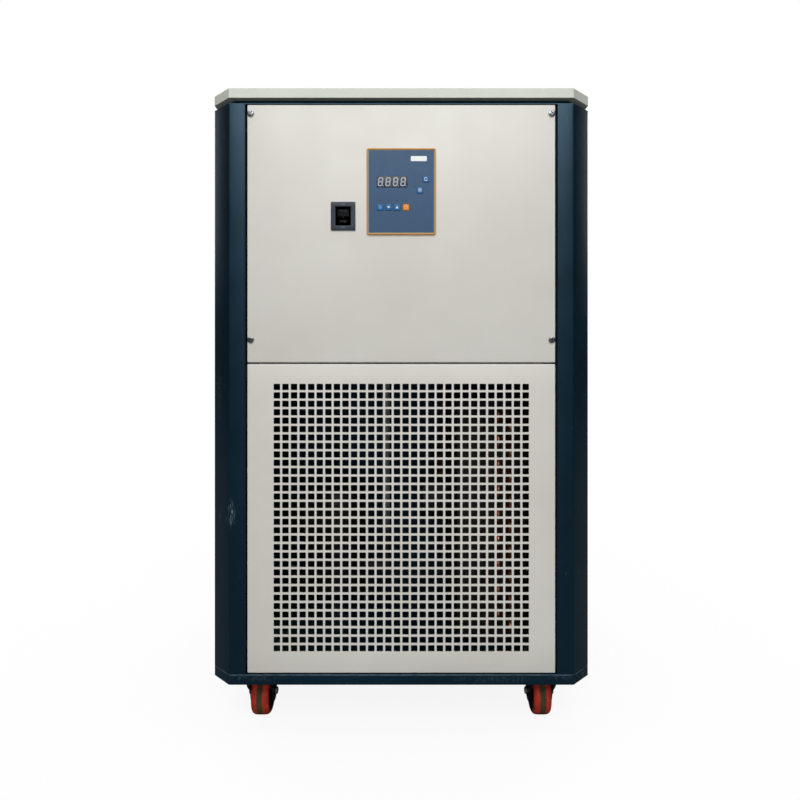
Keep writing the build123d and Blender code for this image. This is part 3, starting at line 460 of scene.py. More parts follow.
@dataclass(frozen=True)
class CastPolyurethane:
    """Cast polyurethane tread: red at the shoulders, with a grey track where it has run on the floor."""

    name: str
    colour: str = "#C83A24"
    deep: str = "#9E2C1B"
    track: str = "#4E4128"
    dirt: str = "#352C1C"
    track_half_mm: float = 4.9
    caster_x_mm: float = 241.0

    def material(self) -> bpy.types.Material:
        """The track follows the middle of the tread, with a ragged edge and dirt pressed into it."""
        bench = Bench(self.name)
        across = add_node(bench.tree, "ShaderNodeSeparateXYZ", inputs={0: bench.place}).outputs["X"]
        from_middle = bench.math("ABSOLUTE", bench.math(
            "SUBTRACT", bench.math("ABSOLUTE", across), self.caster_x_mm / 1000))
        ragged = bench.math("ADD", from_middle, bench.between(bench.noise(5, 3), 0.3, 0.7, -0.0009, 0.0009))
        edge = self.track_half_mm / 1000
        worn = bench.between(ragged, edge + 0.0012, edge - 0.0008)
        drift = bench.between(bench.noise(9, 3), 0.35, 0.65)
        red = bench.mix(drift, linear(self.colour), linear(self.deep))
        dirt = bench.between(bench.noise(4, 4), 0.4, 0.65, 0.0, 0.6)
        grime = bench.mix(dirt, linear(self.track), linear(self.dirt))
        bench.link("Base Color", bench.mix(worn, red, grime))
        bench.link("Roughness", bench.between(worn, 0.0, 1.0, 0.5, 0.85))
        bench.link("Normal", bench.bump(bench.noise(1.6, 3), 0.08, 0.5))
        bench.set(IOR=1.5)
        return bench.made


@dataclass(frozen=True)
class FinStack:
    """Mill-finish aluminium fins, edge on: thin bright lines with painted shade in the gaps between them."""

    name: str
    pitch_mm: float = 2.8

    def material(self) -> bpy.types.Material:
        """The fins stand across the depth, and dust lies in patches on their edges."""
        bench = Bench(self.name)
        wave = add_node(bench.tree, "ShaderNodeTexWave", {"bands_direction": "Y"}, {
            "Vector": bench.place, "Scale": 1000 / self.pitch_mm / 20 * math.tau / 2, "Distortion": 0.0,
        }).outputs["Fac"]
        fins = bench.between(wave, 0.3, 0.7)
        dust = bench.between(bench.noise(30, 4), 0.45, 0.7, 0.0, 0.5)
        metal = bench.mix(dust, linear("#B9BEBF"), linear("#8B8A84"))
        # The gaps between fins are painted near black: painted shade, where light does not reach into the coil
        bench.link("Base Color", bench.mix(fins, linear("#17191A"), metal))
        bench.link("Metallic", bench.math("MULTIPLY", fins, 0.9))
        bench.link("Normal", bench.bump(fins, 0.6, 0.7))
        bench.set(Roughness=0.42)
        return bench.made


@dataclass(frozen=True)
class PrintedInk:
    """Screen-printed ink on a panel: flat, opaque and slightly uneven."""

    name: str
    colour: str
    worn: str
    roughness: float = 0.5

    def material(self) -> bpy.types.Material:
        """The ink thins a little in places."""
        bench = Bench(self.name)
        thin = bench.between(bench.noise(3.0, 3), 0.4, 0.7, 0.0, 0.5)
        bench.link("Base Color", bench.mix(thin, linear(self.colour), linear(self.worn)))
        bench.set(Roughness=self.roughness)
        return bench.made


# Finishes, each named for the real one
IVORY_POWDER = PowderCoat("ivory_powder_coat", "#D3D7CB", "#CACEC1", "#B0B3A8", 0.42, wear=0.35)
PALE_GREY_POWDER = PowderCoat("pale_grey_powder_coat", "#DDDBD4", "#D4D2CA", "#B4B4AC", 0.40, wear=0.3)
# Its pale band at 100.7 mm is a painted highlight along the rounded top fold of the base tray
DARK_BLUE_POWDER = PowderCoat(
    "dark_blue_powder_coat", "#031D2B", "#021620", "#7E8C96", 0.36,
    shine=0.92, shine_tint="#9CC4E0", wear=0.5, painted_highlight_z=100.7,
    scuffs=(
        Scuff((-278, -296, 365), (7, 30, 27)),
        Scuff((-240, -296, 96), (60, 30, 6), 0.16),
        Scuff((150, -296, 94), (90, 30, 6), 0.16),
        Scuff((262, -296, 97), (24, 30, 5), 0.2),
        Scuff((-306, -285, 560), (9, 30, 60), 0.2),
    ),
)
# Zinc-coated sheet shows its crystals as soft grey patches
ZINC_SHEET = Galvanised("galvanised_sheet_steel")
# A near-black finish, given to the condenser's end plates
DARK_END_PLATE = Moulded("near_black_end_plate", "#131516", "#23262A", 0.6)
# Bright zinc plate is a hard, pale mirror
ZINC_PLATE = BareMetal("bright_zinc_plate", "#97999D", "#66696D", 0.27, 0.5, 3.0)
ZINC_NUT = BareMetal("passivated_zinc_nut", "#EDEFEF", "#B9BBBD", 0.5, 0.3, 3.0)
STAINLESS = BareMetal("brushed_stainless_steel", "#BDBDBB", "#9A9A97", 0.3, 0.3, 30.0, (1.0, 1.0, 0.05))
COPPER = BareMetal("drawn_copper_tube", "#BE7650", "#6B3722", 0.34, 0.85, 14.0)
# A darker copper, given to the discharge pipe
DARKER_COPPER = BareMetal("darker_copper_tube", "#5E3A2A", "#33231D", 0.42, 0.7, 14.0)
BRASS = BareMetal("turned_brass", "#C7A35A", "#8A6C33", 0.26, 0.5, 9.0)
BLACK_ABS = Moulded("black_abs", "#232A33", "#343D48", 0.5)
SWITCH_ABS = Moulded("charcoal_abs", "#242F3C", "#2F3A48", 0.48)
ROCKER_ABS = Moulded("black_polycarbonate_rocker", "#0A0D12", "#141920", 0.3, coat=0.3)
AMBER_ABS = Moulded("amber_abs", "#C68C33", "#B98030", 0.42)
BLUE_FILM = Moulded("blue_grey_polyester_film", "#2B5073", "#284B6C", 0.46, 0.5, 0.006)
SMOKED_WINDOW = Moulded("smoked_acrylic", "#232B37", "#2B3340", 0.4, 2.0, 0.003)
BLUE_KEY = Moulded("blue_abs_key", "#00609F", "#00689F", 0.42)
ORANGE_KEY = Moulded("orange_abs_key", "#E28404", "#D67C06", 0.42)
BLACK_FOAM = CellFoam("black_closed_cell_foam", "#17181A", "#2A2B2C")
# The grey foam darkens towards the bottom, from 345 mm down to 215 mm
GREY_FOAM = CellFoam("grey_foam_tube_insulation", "#8C8F8E", "#A2A39F", 2.0, darkest_below=215.0)
BLACK_ENAMEL = Moulded("black_shell_enamel", "#101113", "#26272A", 0.35, 3.0, 0.05, coat=0.3)
BLACK_RUBBER = Moulded("moulded_black_rubber", "#161617", "#2B2B2A", 0.75, 1.2, 0.04)
FAN_NYLON = Moulded("glass_filled_nylon", "#0D0E10", "#1A1B1D", 0.55, 1.0, 0.03)
MOTOR_ENAMEL = PowderCoat("grey_motor_enamel", "#6B7075", "#5B6065", "#9DA1A4", 0.42)
HOSE_RUBBER = Moulded("grey_hose_rubber", "#3A3B3D", "#4C4D4D", 0.7, 1.5, 0.05)
RED_VINYL = Moulded("dipped_red_vinyl", "#A52418", "#8F2117", 0.4, 2.0, 0.03, coat=0.2)
BLACK_ZINC = Moulded("black_zinc_plate_on_stamped_steel", "#0B0C0E", "#1A1B1D", 0.34, 2.0, 0.02, coat=0.3)
BLACK_WHEEL = Moulded("black_polypropylene_wheel", "#0C0C0D", "#1E1E1E", 0.55, 1.0, 0.03)
RED_TREAD = CastPolyurethane("cast_red_polyurethane")
ALUMINIUM_FINS = FinStack("mill_finish_aluminium_fins")
WHITE_INK = PrintedInk("white_ink", "#E4EAF0", "#C3CEDA")
FAINT_INK = PrintedInk("pale_blue_ink", "#86ADD0", "#6D9AC4")
EDGE_INK = PrintedInk("beige_edge_ink", "#9FA39C", "#8D9590")
AMBER_INK = PrintedInk("pale_amber_ink", "#F2C98C", "#E9B972")
GREY_INK = PrintedInk("grey_pad_printing", "#6F7883", "#59626D")
DARK_INK = PrintedInk("dark_blue_ink", "#1C3650", "#27435E")
PAPER_LABEL = PrintedInk("white_paper_label", "#F8FAFC", "#EEF1F5", 0.7)
SEGMENT_FILM = PrintedInk("unlit_segment_film", "#A7AFBC", "#969EAB", 0.4)

SLOT_FINISHES: dict[str, Finish] = {
    "cover_enamel": IVORY_POWDER,
    "panel_enamel": PALE_GREY_POWDER,
    "shell_enamel": DARK_BLUE_POWDER,
    "galvanised_sheet": ZINC_SHEET,
    "bright_zinc": ZINC_PLATE,
    "black_abs": BLACK_ABS,
    "bezel_amber": AMBER_ABS,
    "overlay_blue": BLUE_FILM,
    "window_smoke": SMOKED_WINDOW,
    "key_blue": BLUE_KEY,
    "key_orange": ORANGE_KEY,
    "stainless": STAINLESS,
    "black_foam": BLACK_FOAM,
    "grey_foam": GREY_FOAM,
    "compressor_black": BLACK_ENAMEL,
    "mount_rubber": BLACK_RUBBER,
    "copper": COPPER,
    "fin_aluminium": ALUMINIUM_FINS,
    "fan_plastic": FAN_NYLON,
    "motor_grey": MOTOR_ENAMEL,
    "hose_grey": HOSE_RUBBER,
    "valve_brass": BRASS,
    "lever_red": RED_VINYL,
    "caster_black": BLACK_ZINC,
    "tread_red": RED_TREAD,
}


class Palette:
    """Makes each finish's material once."""

    def __init__(self) -> None:
        """Starts with no materials made."""
        self.made: dict[str, bpy.types.Material] = {}

    def of(self, finish: Finish) -> bpy.types.Material:
        """The material of a finish.

        Args:
            finish: The finish wanted.

        Returns:
            Its material, the same one each time.
        """
        if finish.name not in self.made:
            self.made[finish.name] = finish.material()
        return self.made[finish.name]


PALETTE = Palette()


def verts_in(geom: Iterable[Any]) -> list[bmesh.types.BMVert]:
    """The vertices among the parts that an operator returned."""
    return [part for part in geom if isinstance(part, bmesh.types.BMVert)]


def edges_in(geom: Iterable[Any]) -> list[bmesh.types.BMEdge]:
    """The edges among the parts that an operator returned."""
    return [part for part in geom if isinstance(part, bmesh.types.BMEdge)]


def faces_in(geom: Iterable[Any]) -> list[bmesh.types.BMFace]:
    """The faces among the parts that an operator returned."""
    return [part for part in geom if isinstance(part, bmesh.types.BMFace)]


class Solid:
    """A mesh under work, in millimetres, shaped with bmesh operators."""

    def __init__(self) -> None:
        """Starts empty."""
        self.bm = bmesh.new()

    @classmethod
    def block(cls, low: Vector, high: Vector, soft: float = 0.0, steps: int = 2) -> "Solid":
        """A box between two corners.

        Args:
            low: Lowest corner.
            high: Highest corner.
            soft: Radius of its edges.
            steps: Facets of each rounded edge.

        Returns:
            The box.
        """
        made = cls()
        size = high - low
        place = Matrix.Translation((low + high) / 2) @ Matrix.Diagonal((*size, 1))
        bmesh.ops.create_cube(made.bm, size=1.0, matrix=place)
        if soft:
            made.soften(soft, steps)
        return made

    @classmethod
    def plate(cls, width: float, height: float, thick: float, corner: float = 0.0,
              steps: int = 4) -> "Solid":
        """A flat plate with rounded corners, on the XY plane and up from it.

        Args:
            width: Size along X.
            height: Size along Y.
            thick: Size along Z, or 0 for a bare face.
            corner: Radius of the corners.
            steps: Facets of each corner.

        Returns:
            The plate.
        """
        made = cls()
        bmesh.ops.create_grid(made.bm, x_segments=1, y_segments=1, size=0.5,
                              matrix=Matrix.Diagonal((width, height, 1, 1)))
        if corner:
            bmesh.ops.bevel(made.bm, geom=list(made.bm.verts), offset=corner, segments=steps, profile=0.5,
                            affect="VERTICES", material=-1, clamp_overlap=True)
        if thick:
            made.raise_faces(list(made.bm.faces), Z_AXIS * thick)
        return made

    @classmethod
    def disc(cls, radius: float, thick: float, sides: int = 32, soft: float = 0.0) -> "Solid":
        """A round or many-sided plate on the XY plane and up from it.

        Args:
            radius: Radius to its corners.
            thick: Size along Z, or 0 for a bare face.
            sides: Number of sides.
            soft: Radius of its edges.

        Returns:
            The disc.
        """
        made = cls()
        bmesh.ops.create_circle(made.bm, cap_ends=True, segments=sides, radius=radius)
        if thick:
            made.raise_faces(list(made.bm.faces), Z_AXIS * thick)
        if soft:
            made.soften(soft, 2, where=lambda edge: abs(edge.verts[0].co.z - edge.verts[1].co.z) < 1e-4)
        return made

    @classmethod
    def outline(cls, points: Iterable[tuple[float, float]], thick: float, corner: float = 0.0,
                steps: int = 4) -> "Solid":
        """A plate cut to an outline on the XY plane and up from it.

        Args:
            points: Corners in order.
            thick: Size along Z, or 0 for a bare face.
            corner: Radius of the corners.
            steps: Facets of each corner.

        Returns:
            The plate.
        """
        made = cls()
        made.bm.faces.new([made.bm.verts.new((x, y, 0)) for x, y in points])
        if corner:
            bmesh.ops.bevel(made.bm, geom=list(made.bm.verts), offset=corner, segments=steps, profile=0.5,
                            affect="VERTICES", material=-1, clamp_overlap=True)
        if thick:
            made.raise_faces(list(made.bm.faces), Z_AXIS * thick)
        return made

    @classmethod
    def turned(cls, profile: Sequence[tuple[float, float]], steps: int = 48, ring: bool = False) -> "Solid":
        """A shape turned about the Z axis.

        Args:
            profile: Radius and height of each point of the section.
            steps: Facets round the axis.
            ring: Whether the section closes on itself.

        Returns:
            The turned shape.
        """
        made = cls()
        verts = [made.bm.verts.new((radius, 0, height)) for radius, height in profile]
        pairs = list(zip(verts, verts[1:])) + ([(verts[-1], verts[0])] if ring else [])
        edges = [made.bm.edges.new(pair) for pair in pairs]
        bmesh.ops.spin(made.bm, geom=verts + edges, cent=(0, 0, 0), axis=(0, 0, 1), angle=math.tau,
                       steps=steps, use_merge=True)
        bmesh.ops.remove_doubles(made.bm, verts=made.bm.verts, dist=0.001)
        made.outward()
        return made

    def outward(self) -> "Solid":
        """Turns every face outwards."""
        bmesh.ops.recalc_face_normals(self.bm, faces=self.bm.faces)
        return self

    def raise_faces(self, faces: list[bmesh.types.BMFace], along: Vector) -> list[bmesh.types.BMFace]:
        """Extrudes faces along a vector.

        Args:
            faces: The faces to move.
            along: How far and which way.

        Returns:
            The faces at the far end.
        """
        grown = bmesh.ops.extrude_face_region(self.bm, geom=faces)["geom"]
        bmesh.ops.translate(self.bm, vec=along, verts=verts_in(grown))
        self.outward()
        return faces_in(grown)

    def draw(self, edges: list[bmesh.types.BMEdge], along: Sequence[float]) -> list[Any]:
        """Extrudes edges along a vector.

        Args:
            edges: The edges to move.
            along: How far and which way.

        Returns:
            The new vertices, edges and faces.
        """
        grown = bmesh.ops.extrude_edge_only(self.bm, edges=edges)["geom"]
        bmesh.ops.translate(self.bm, vec=along, verts=verts_in(grown))
        return grown

    def soften(self, radius: float, steps: int = 2, angle: float = 25.0,
               where: Optional[Callable[[bmesh.types.BMEdge], bool]] = None) -> "Solid":
        """Rounds the sharp edges.

        Args:
            radius: Radius of the rounding.
            steps: Facets of each rounded edge.
            angle: Smallest turn of an edge that counts as sharp, in degrees.
            where: A test that an edge also has to pass.

        Returns:
            This solid.
        """
        self.bm.normal_update()
        sharp = [
            edge for edge in self.bm.edges
            if len(edge.link_faces) == 2 and abs(edge.calc_face_angle(0.0)) > math.radians(angle)
            and (where is None or where(edge))
        ]
        bmesh.ops.bevel(self.bm, geom=sharp, offset=radius, segments=steps, profile=0.5, affect="EDGES",
                        material=-1, clamp_overlap=True)
        return self

    def pierce(self, faces: list[bmesh.types.BMFace], cuts: Iterable[tuple[Vector, Vector]],
               inside: Callable[[Vector], bool]) -> None:
        """Cuts faces along planes and takes out what lies in the openings.

        Args:
            faces: The faces to cut.
            cuts: A point and a normal of each plane.
            inside: Says of a face's middle whether it lies in an opening.
        """
        for point, normal in cuts:
            geom = list({part for face in faces for part in (face, *face.edges, *face.verts)})
            cut = bmesh.ops.bisect_plane(self.bm, geom=geom, dist=1e-4, plane_co=point, plane_no=normal)
            faces = faces_in(cut["geom"])
        doomed = [face for face in faces if inside(face.calc_center_median())]
        bmesh.ops.delete(self.bm, geom=doomed, context="FACES")

    def moved(self, matrix: Matrix) -> "Solid":
        """Places the solid by a matrix."""
        bmesh.ops.transform(self.bm, matrix=matrix, verts=self.bm.verts)
        if matrix.determinant() < 0:
            bmesh.ops.reverse_faces(self.bm, faces=self.bm.faces)
        return self

    def shifted(self, x: float, y: float, z: float) -> "Solid":
        """Moves the solid along the axes."""
        return self.moved(Matrix.Translation((x, y, z)))

    def spun(self, degrees: float) -> "Solid":
        """Turns the solid about the Z axis."""
        return self.moved(Matrix.Rotation(math.radians(degrees), 4, "Z"))

    def facing(self, place: Vector, axis: Vector) -> "Solid":
        """Puts the solid's origin at a place and its Z axis along another axis.

        Args:
            place: Where its origin goes.
            axis: Where its Z axis goes.

        Returns:
            This solid.
        """
        turn = Z_AXIS.rotation_difference(axis).to_matrix().to_4x4()
        return self.moved(Matrix.Translation(place) @ turn)

    def join(self, *others: "Solid") -> "Solid":
        """Adds other solids to this one and drops them.

        Args:
            others: What to add.

        Returns:
            This solid.
        """
        for other in others:
            holder = bpy.data.meshes.new("holder")
            other.bm.to_mesh(holder)
            self.bm.from_mesh(holder)
            bpy.data.meshes.remove(holder)
            other.bm.free()
        return self

    def finish(self, name: str, finish: Finish, body: str, slot: Slot, replaces: Sequence[str] = (),
               crease: float = 32.0) -> bpy.types.Object:
        """Makes the scene's object, in metres.

        Args:
            name: Name of the piece.
            finish: Its finish.
            body: The body it rides on.
            slot: The record's slot of the piece; not used.
            replaces: Nodes of the model that it stands for.
            crease: Turn above which an edge stays sharp, in degrees.

        Returns:
            The object.
        """
        bmesh.ops.scale(self.bm, vec=(0.001, 0.001, 0.001), verts=self.bm.verts)
        mesh = bpy.data.meshes.new(name)
        self.bm.to_mesh(mesh)
        self.bm.free()
        mesh.materials.append(PALETTE.of(finish))
        for polygon in mesh.polygons:
            polygon.use_smooth = True
        mesh.set_sharp_from_angle(angle=math.radians(crease))
        piece = bpy.data.objects.new(name, mesh)
        bpy.context.scene.collection.objects.link(piece)
        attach(piece, body)
        if replaces:
            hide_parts(*replaces)
        LOG.info("%s: %d faces, rides on %s", name, len(mesh.polygons), body)
        return piece


def lettering(words: str, height: float) -> Solid:
    """Words as a flat solid, centred on the XY plane.

    Args:
        words: The words.
        height: Height of a capital.

    Returns:
        The letters, a hair thick.
    """
    curve = bpy.data.curves.new("lettering", "FONT")
    curve.body = words
    curve.size = height / 0.7
    curve.align_x = "CENTER"
    curve.align_y = "CENTER"
    curve.extrude = 0.03
    holder = bpy.data.objects.new("lettering", curve)
    mesh = bpy.data.meshes.new_from_object(holder)
    made = Solid()
    made.bm.from_mesh(mesh)
    bpy.data.objects.remove(holder)
    bpy.data.curves.remove(curve)
    bpy.data.meshes.remove(mesh)
    return made


@dataclass
class SlotField:
    """Upright columns of level slots."""

    middle: float = 330.0
    width: float = 130.0
    height: float = 8.0
    pitch: float = 26.0
    rows: int = 10

    def centres(self) -> list[tuple[float, float]]:
        """Places of the slots, across and up."""
        first = self.middle - self.pitch * (self.rows - 1) / 2
        across = (self.width + self.pitch) / 2
        return [(side * across, first + row * self.pitch) for side in (-1, 1) for row in range(self.rows)]

    def inside(self, across: float, height: float) -> bool:
        """Whether a point lies in one of the slots."""
        return any(
            abs(across - x) < self.width / 2 and abs(height - z) < self.height / 2
            for x, z in self.centres()
        )

    def levels(self) -> list[float]:
        """Heights of the slots' edges."""
        return sorted({z + side * self.height / 2 for _, z in self.centres() for side in (-1, 1)})

    def uprights(self) -> list[float]:
        """Places of the slots' ends."""
        return sorted({x + side * self.width / 2 for x, _ in self.centres() for side in (-1, 1)})


@dataclass
class HoleField:
    """A punched field of square holes: the first and last edges, the counts and a hole's size."""

    half_width: float = 208.0
    low: float = 140.0
    high: float = 576.6
    columns: int = 30
    rows: int = 32
    hole: float = 9.2
    corner: float = 0.9

    @property
    def pitch_x(self) -> float:
        """Distance between the columns."""
        return (2 * self.half_width - self.hole) / (self.columns - 1)

    @property
    def pitch_z(self) -> float:
        """Distance between the rows."""
        return (self.high - self.low - self.hole) / (self.rows - 1)


@dataclass
class TrayPanel:
    """A sheet panel with its four edges folded back."""

    name: str
    low: float
    high: float
    facing: Facing = Facing.FRONT
    half_width: float = 252.0
    fold: float = 11.5
    bend: float = 1.8
    holes: Optional[HoleField] = None

    def punched(self, holes: HoleField) -> Solid:
        """The punched middle of the panel, flat on the front plane.

        Args:
            holes: The field of holes.

        Returns:
            A sheet with its holes open, out to half a pitch beyond them.
        """
        made = Solid()
        bmesh.ops.create_grid(made.bm, x_segments=holes.columns, y_segments=holes.rows, size=0.5)
        span_x = holes.pitch_x * holes.columns
        span_z = holes.pitch_z * holes.rows
        bmesh.ops.scale(made.bm, vec=(span_x, span_z, 1), verts=made.bm.verts)
        cells = list(made.bm.faces)
        web = holes.pitch_x - holes.hole
        bmesh.ops.inset_individual(made.bm, faces=cells, thickness=web / 2, depth=0.0)
        bmesh.ops.delete(made.bm, geom=cells, context="FACES")
        made.facing(at(0, 0, (holes.low + holes.high) / 2), FRONTWARD)
        return made

    def border(self, made: Solid, edges: list[bmesh.types.BMEdge]) -> list[bmesh.types.BMEdge]:
        """Draws a sheet's outer edges out to the panel's edges.

        Args:
            made: The sheet.
            edges: Its outer edges.

        Returns:
            The panel's edges.
        """
        grown = bmesh.ops.extrude_edge_only(made.bm, edges=edges)["geom"]
        verts = verts_in(grown)
        left = min(vert.co.x for vert in verts)
        right = max(vert.co.x for vert in verts)
        bottom = min(vert.co.z for vert in verts)
        top = max(vert.co.z for vert in verts)
        for vert in verts:
            if abs(vert.co.x - left) < 0.01:
                vert.co.x = -self.half_width
            if abs(vert.co.x - right) < 0.01:
                vert.co.x = self.half_width
            if abs(vert.co.z - bottom) < 0.01:
                vert.co.z = self.low
            if abs(vert.co.z - top) < 0.01:
                vert.co.z = self.high
        return edges_in(grown)

    def sheet(self) -> Solid:
        """The panel's outer skin with its holes and folds."""
        if self.holes:
            made = self.punched(self.holes)
            reach_x = self.holes.pitch_x * self.holes.columns / 2 - 0.01
            middle = (self.holes.low + self.holes.high) / 2
            reach_z = self.holes.pitch_z * self.holes.rows / 2 - 0.01
            outer = [
                edge for edge in made.bm.edges if edge.is_boundary
                and all(abs(v.co.x) > reach_x or abs(v.co.z - middle) > reach_z for v in edge.verts)
            ]
            rim = self.border(made, outer)
        else:
            made = Solid.plate(2 * self.half_width, self.high - self.low, 0.0)
            made.facing(at(0, 0, (self.low + self.high) / 2), FRONTWARD)
            rim = list(made.bm.edges)
        rim = [edge for edge in rim if edge.is_boundary]
        made.draw(rim, REARWARD * self.fold)
        made.outward()
        return made

    def build(self) -> Solid:
        """The folded panel at its full thickness."""
        made = self.sheet()
        made.soften(self.bend, 3, 60.0)
        if sum(face.normal.y * face.calc_area() for face in made.bm.faces) > 0:
            bmesh.ops.reverse_faces(made.bm, faces=made.bm.faces)
        bmesh.ops.solidify(made.bm, geom=list(made.bm.faces), thickness=SHEET)
        made.outward()
        if self.holes:
            edge_x = self.half_width - 8
            made.soften(self.holes.corner, 2, 60.0, lambda e: (
                (e.verts[0].co - e.verts[1].co).cross(Y_AXIS).length < 0.01
                and abs(e.verts[0].co.x) < edge_x
                and self.low + 8 < e.verts[0].co.z < self.high - 8))
        if self.facing is Facing.REAR:
            made.moved(Matrix.Translation((0, MID_Y, 0)) @ Matrix.Rotation(math.pi, 4, "Z")
                       @ Matrix.Translation((0, -MID_Y, 0)))
        return made


@dataclass
class SideShell:
    """A side sheet, folded round both cut corners from the front landing to the rear one."""

    low: float = 102.0
    high: float = 1034.5
    landing: float = 235.0
    post_inner: float = 255.0
    post_fold: float = 282.0
    step: float = 11.5
    bend: float = 1.6
    foot: float = 15.0
    slots: SlotField = field(default_factory=SlotField)

    def path(self) -> list[tuple[float, float]]:
        """Across and depth of the sheet's outer skin, from the front landing to the rear one."""
        front = [
            (self.landing, self.step), (self.post_inner, self.step), (self.post_inner, 0.0),
            (self.post_fold, 0.0), (WIDTH / 2, CORNER),
        ]
        return front + [(x, DEPTH - depth) for x, depth in reversed(front)]

    def build(self) -> Solid:
        """The right-hand sheet at its full thickness, with its vent slots."""
        made = Solid()
        verts = [made.bm.verts.new(at(x, depth, self.low)) for x, depth in self.path()]
        edges = [made.bm.edges.new(pair) for pair in zip(verts, verts[1:])]
        made.draw(edges, Z_AXIS * (self.high - self.low))
        side = [face for face in made.bm.faces if abs(face.calc_center_median().x - WIDTH / 2) < 0.01]
        cuts = [(Vector((0, MID_Y + y, 0)), Y_AXIS) for y in self.slots.uprights()]
        cuts += [(Vector((0, 0, z)), Z_AXIS) for z in self.slots.levels()]
        made.pierce(side, cuts, lambda p: self.slots.inside(p.y - MID_Y, p.z))
        made.soften(self.bend, 3, 30.0)
        made.bm.normal_update()
        flat = max(made.bm.faces, key=lambda face: face.calc_area())
        if flat.normal.x < 0:
            bmesh.ops.reverse_faces(made.bm, faces=made.bm.faces)
        bmesh.ops.solidify(made.bm, geom=list(made.bm.faces), thickness=SHEET)
        made.outward()
        made.soften(3.2, 3, 60.0, lambda e: (
            (e.verts[0].co - e.verts[1].co).cross(X_AXIS).length < 0.01
            and e.verts[0].co.x > WIDTH / 2 - 3 and 150 < e.verts[0].co.z < 600))
        tab = Solid.block(at(WIDTH / 2 - SHEET - self.foot, 1.5 * CORNER, self.low),
                          at(WIDTH / 2 - SHEET, DEPTH - 1.5 * CORNER, self.low + SHEET))
        return made.join(tab)


def plan_points() -> list[tuple[float, float]]:
    """X and Y of the eight corners of the cabinet's plan, a rectangle with its corners cut, in order."""
    half_x, half_y = WIDTH / 2, DEPTH / 2
    points = [
        (half_x - CORNER, -half_y), (half_x, -half_y + CORNER),
        (half_x, half_y - CORNER), (half_x - CORNER, half_y),
    ]
    return [(x, MID_Y + y) for x, y in points] + [(-x, MID_Y + y) for x, y in reversed(points)]


@dataclass
class Cabinet:
    """The enamelled sheets with folds that show: base pan, side sheets and panels."""

    pan_low: float = 85.0
    pan_top: float = 102.0
    split_low: float = 609.5
    split_high: float = 612.0
    panel_low: float = 104.0
    panel_high: float = 1033.5

    def tray(self, low: float, high: float, bend: float) -> Solid:
        """A closed top with its skirt folded down all round.

        Args:
            low: Height of the skirt's lower edge.
            high: Height of the top.
            bend: Radius of the folds.

        Returns:
            The tray at its full thickness.
        """
        made = Solid.outline(plan_points(), 0.0)
        bmesh.ops.translate(made.bm, vec=(0, 0, high), verts=made.bm.verts)
        rim = [edge for edge in made.bm.edges if edge.is_boundary]
        made.draw(rim, (0, 0, low - high))
        made.outward()
        made.soften(bend, 3, 30.0)
        top = max(made.bm.faces, key=lambda face: face.calc_area())
        made.bm.normal_update()
        if top.normal.z < 0:
            bmesh.ops.reverse_faces(made.bm, faces=made.bm.faces)
        bmesh.ops.solidify(made.bm, geom=list(made.bm.faces), thickness=SHEET)
        return made.outward()

    def build(self) -> None:
        """Makes the sheets that show and puts them on the cabinet."""
        self.tray(self.pan_low, self.pan_top, 1.8).finish(
            "base_tray", DARK_BLUE_POWDER, "cabinet", Slot.SHELL, ["base_pan"])
        right = SideShell().build()
        left = SideShell().build().moved(Matrix.Diagonal((-1, 1, 1, 1)))
        right.finish("right_side_sheet", DARK_BLUE_POWDER, "cabinet", Slot.SHELL, ["right_side_panel"])
        left.finish("left_side_sheet", DARK_BLUE_POWDER, "cabinet", Slot.SHELL, ["left_side_panel"])
        upper = TrayPanel("upper_front_sheet", self.split_high, self.panel_high)
        upper.build().finish(upper.name, PALE_GREY_POWDER, "cabinet", Slot.PANEL, ["upper_front_panel"])
        lower = TrayPanel("grille_sheet", self.panel_low, self.split_low, holes=HoleField())
        lower.build().finish(lower.name, PALE_GREY_POWDER, "cabinet", Slot.PANEL, ["lower_front_panel"])
        rear = TrayPanel("rear_sheet", self.panel_low, self.panel_high, Facing.REAR)
        rear.build().finish(rear.name, DARK_BLUE_POWDER, "cabinet", Slot.SHELL, ["rear_panel"])


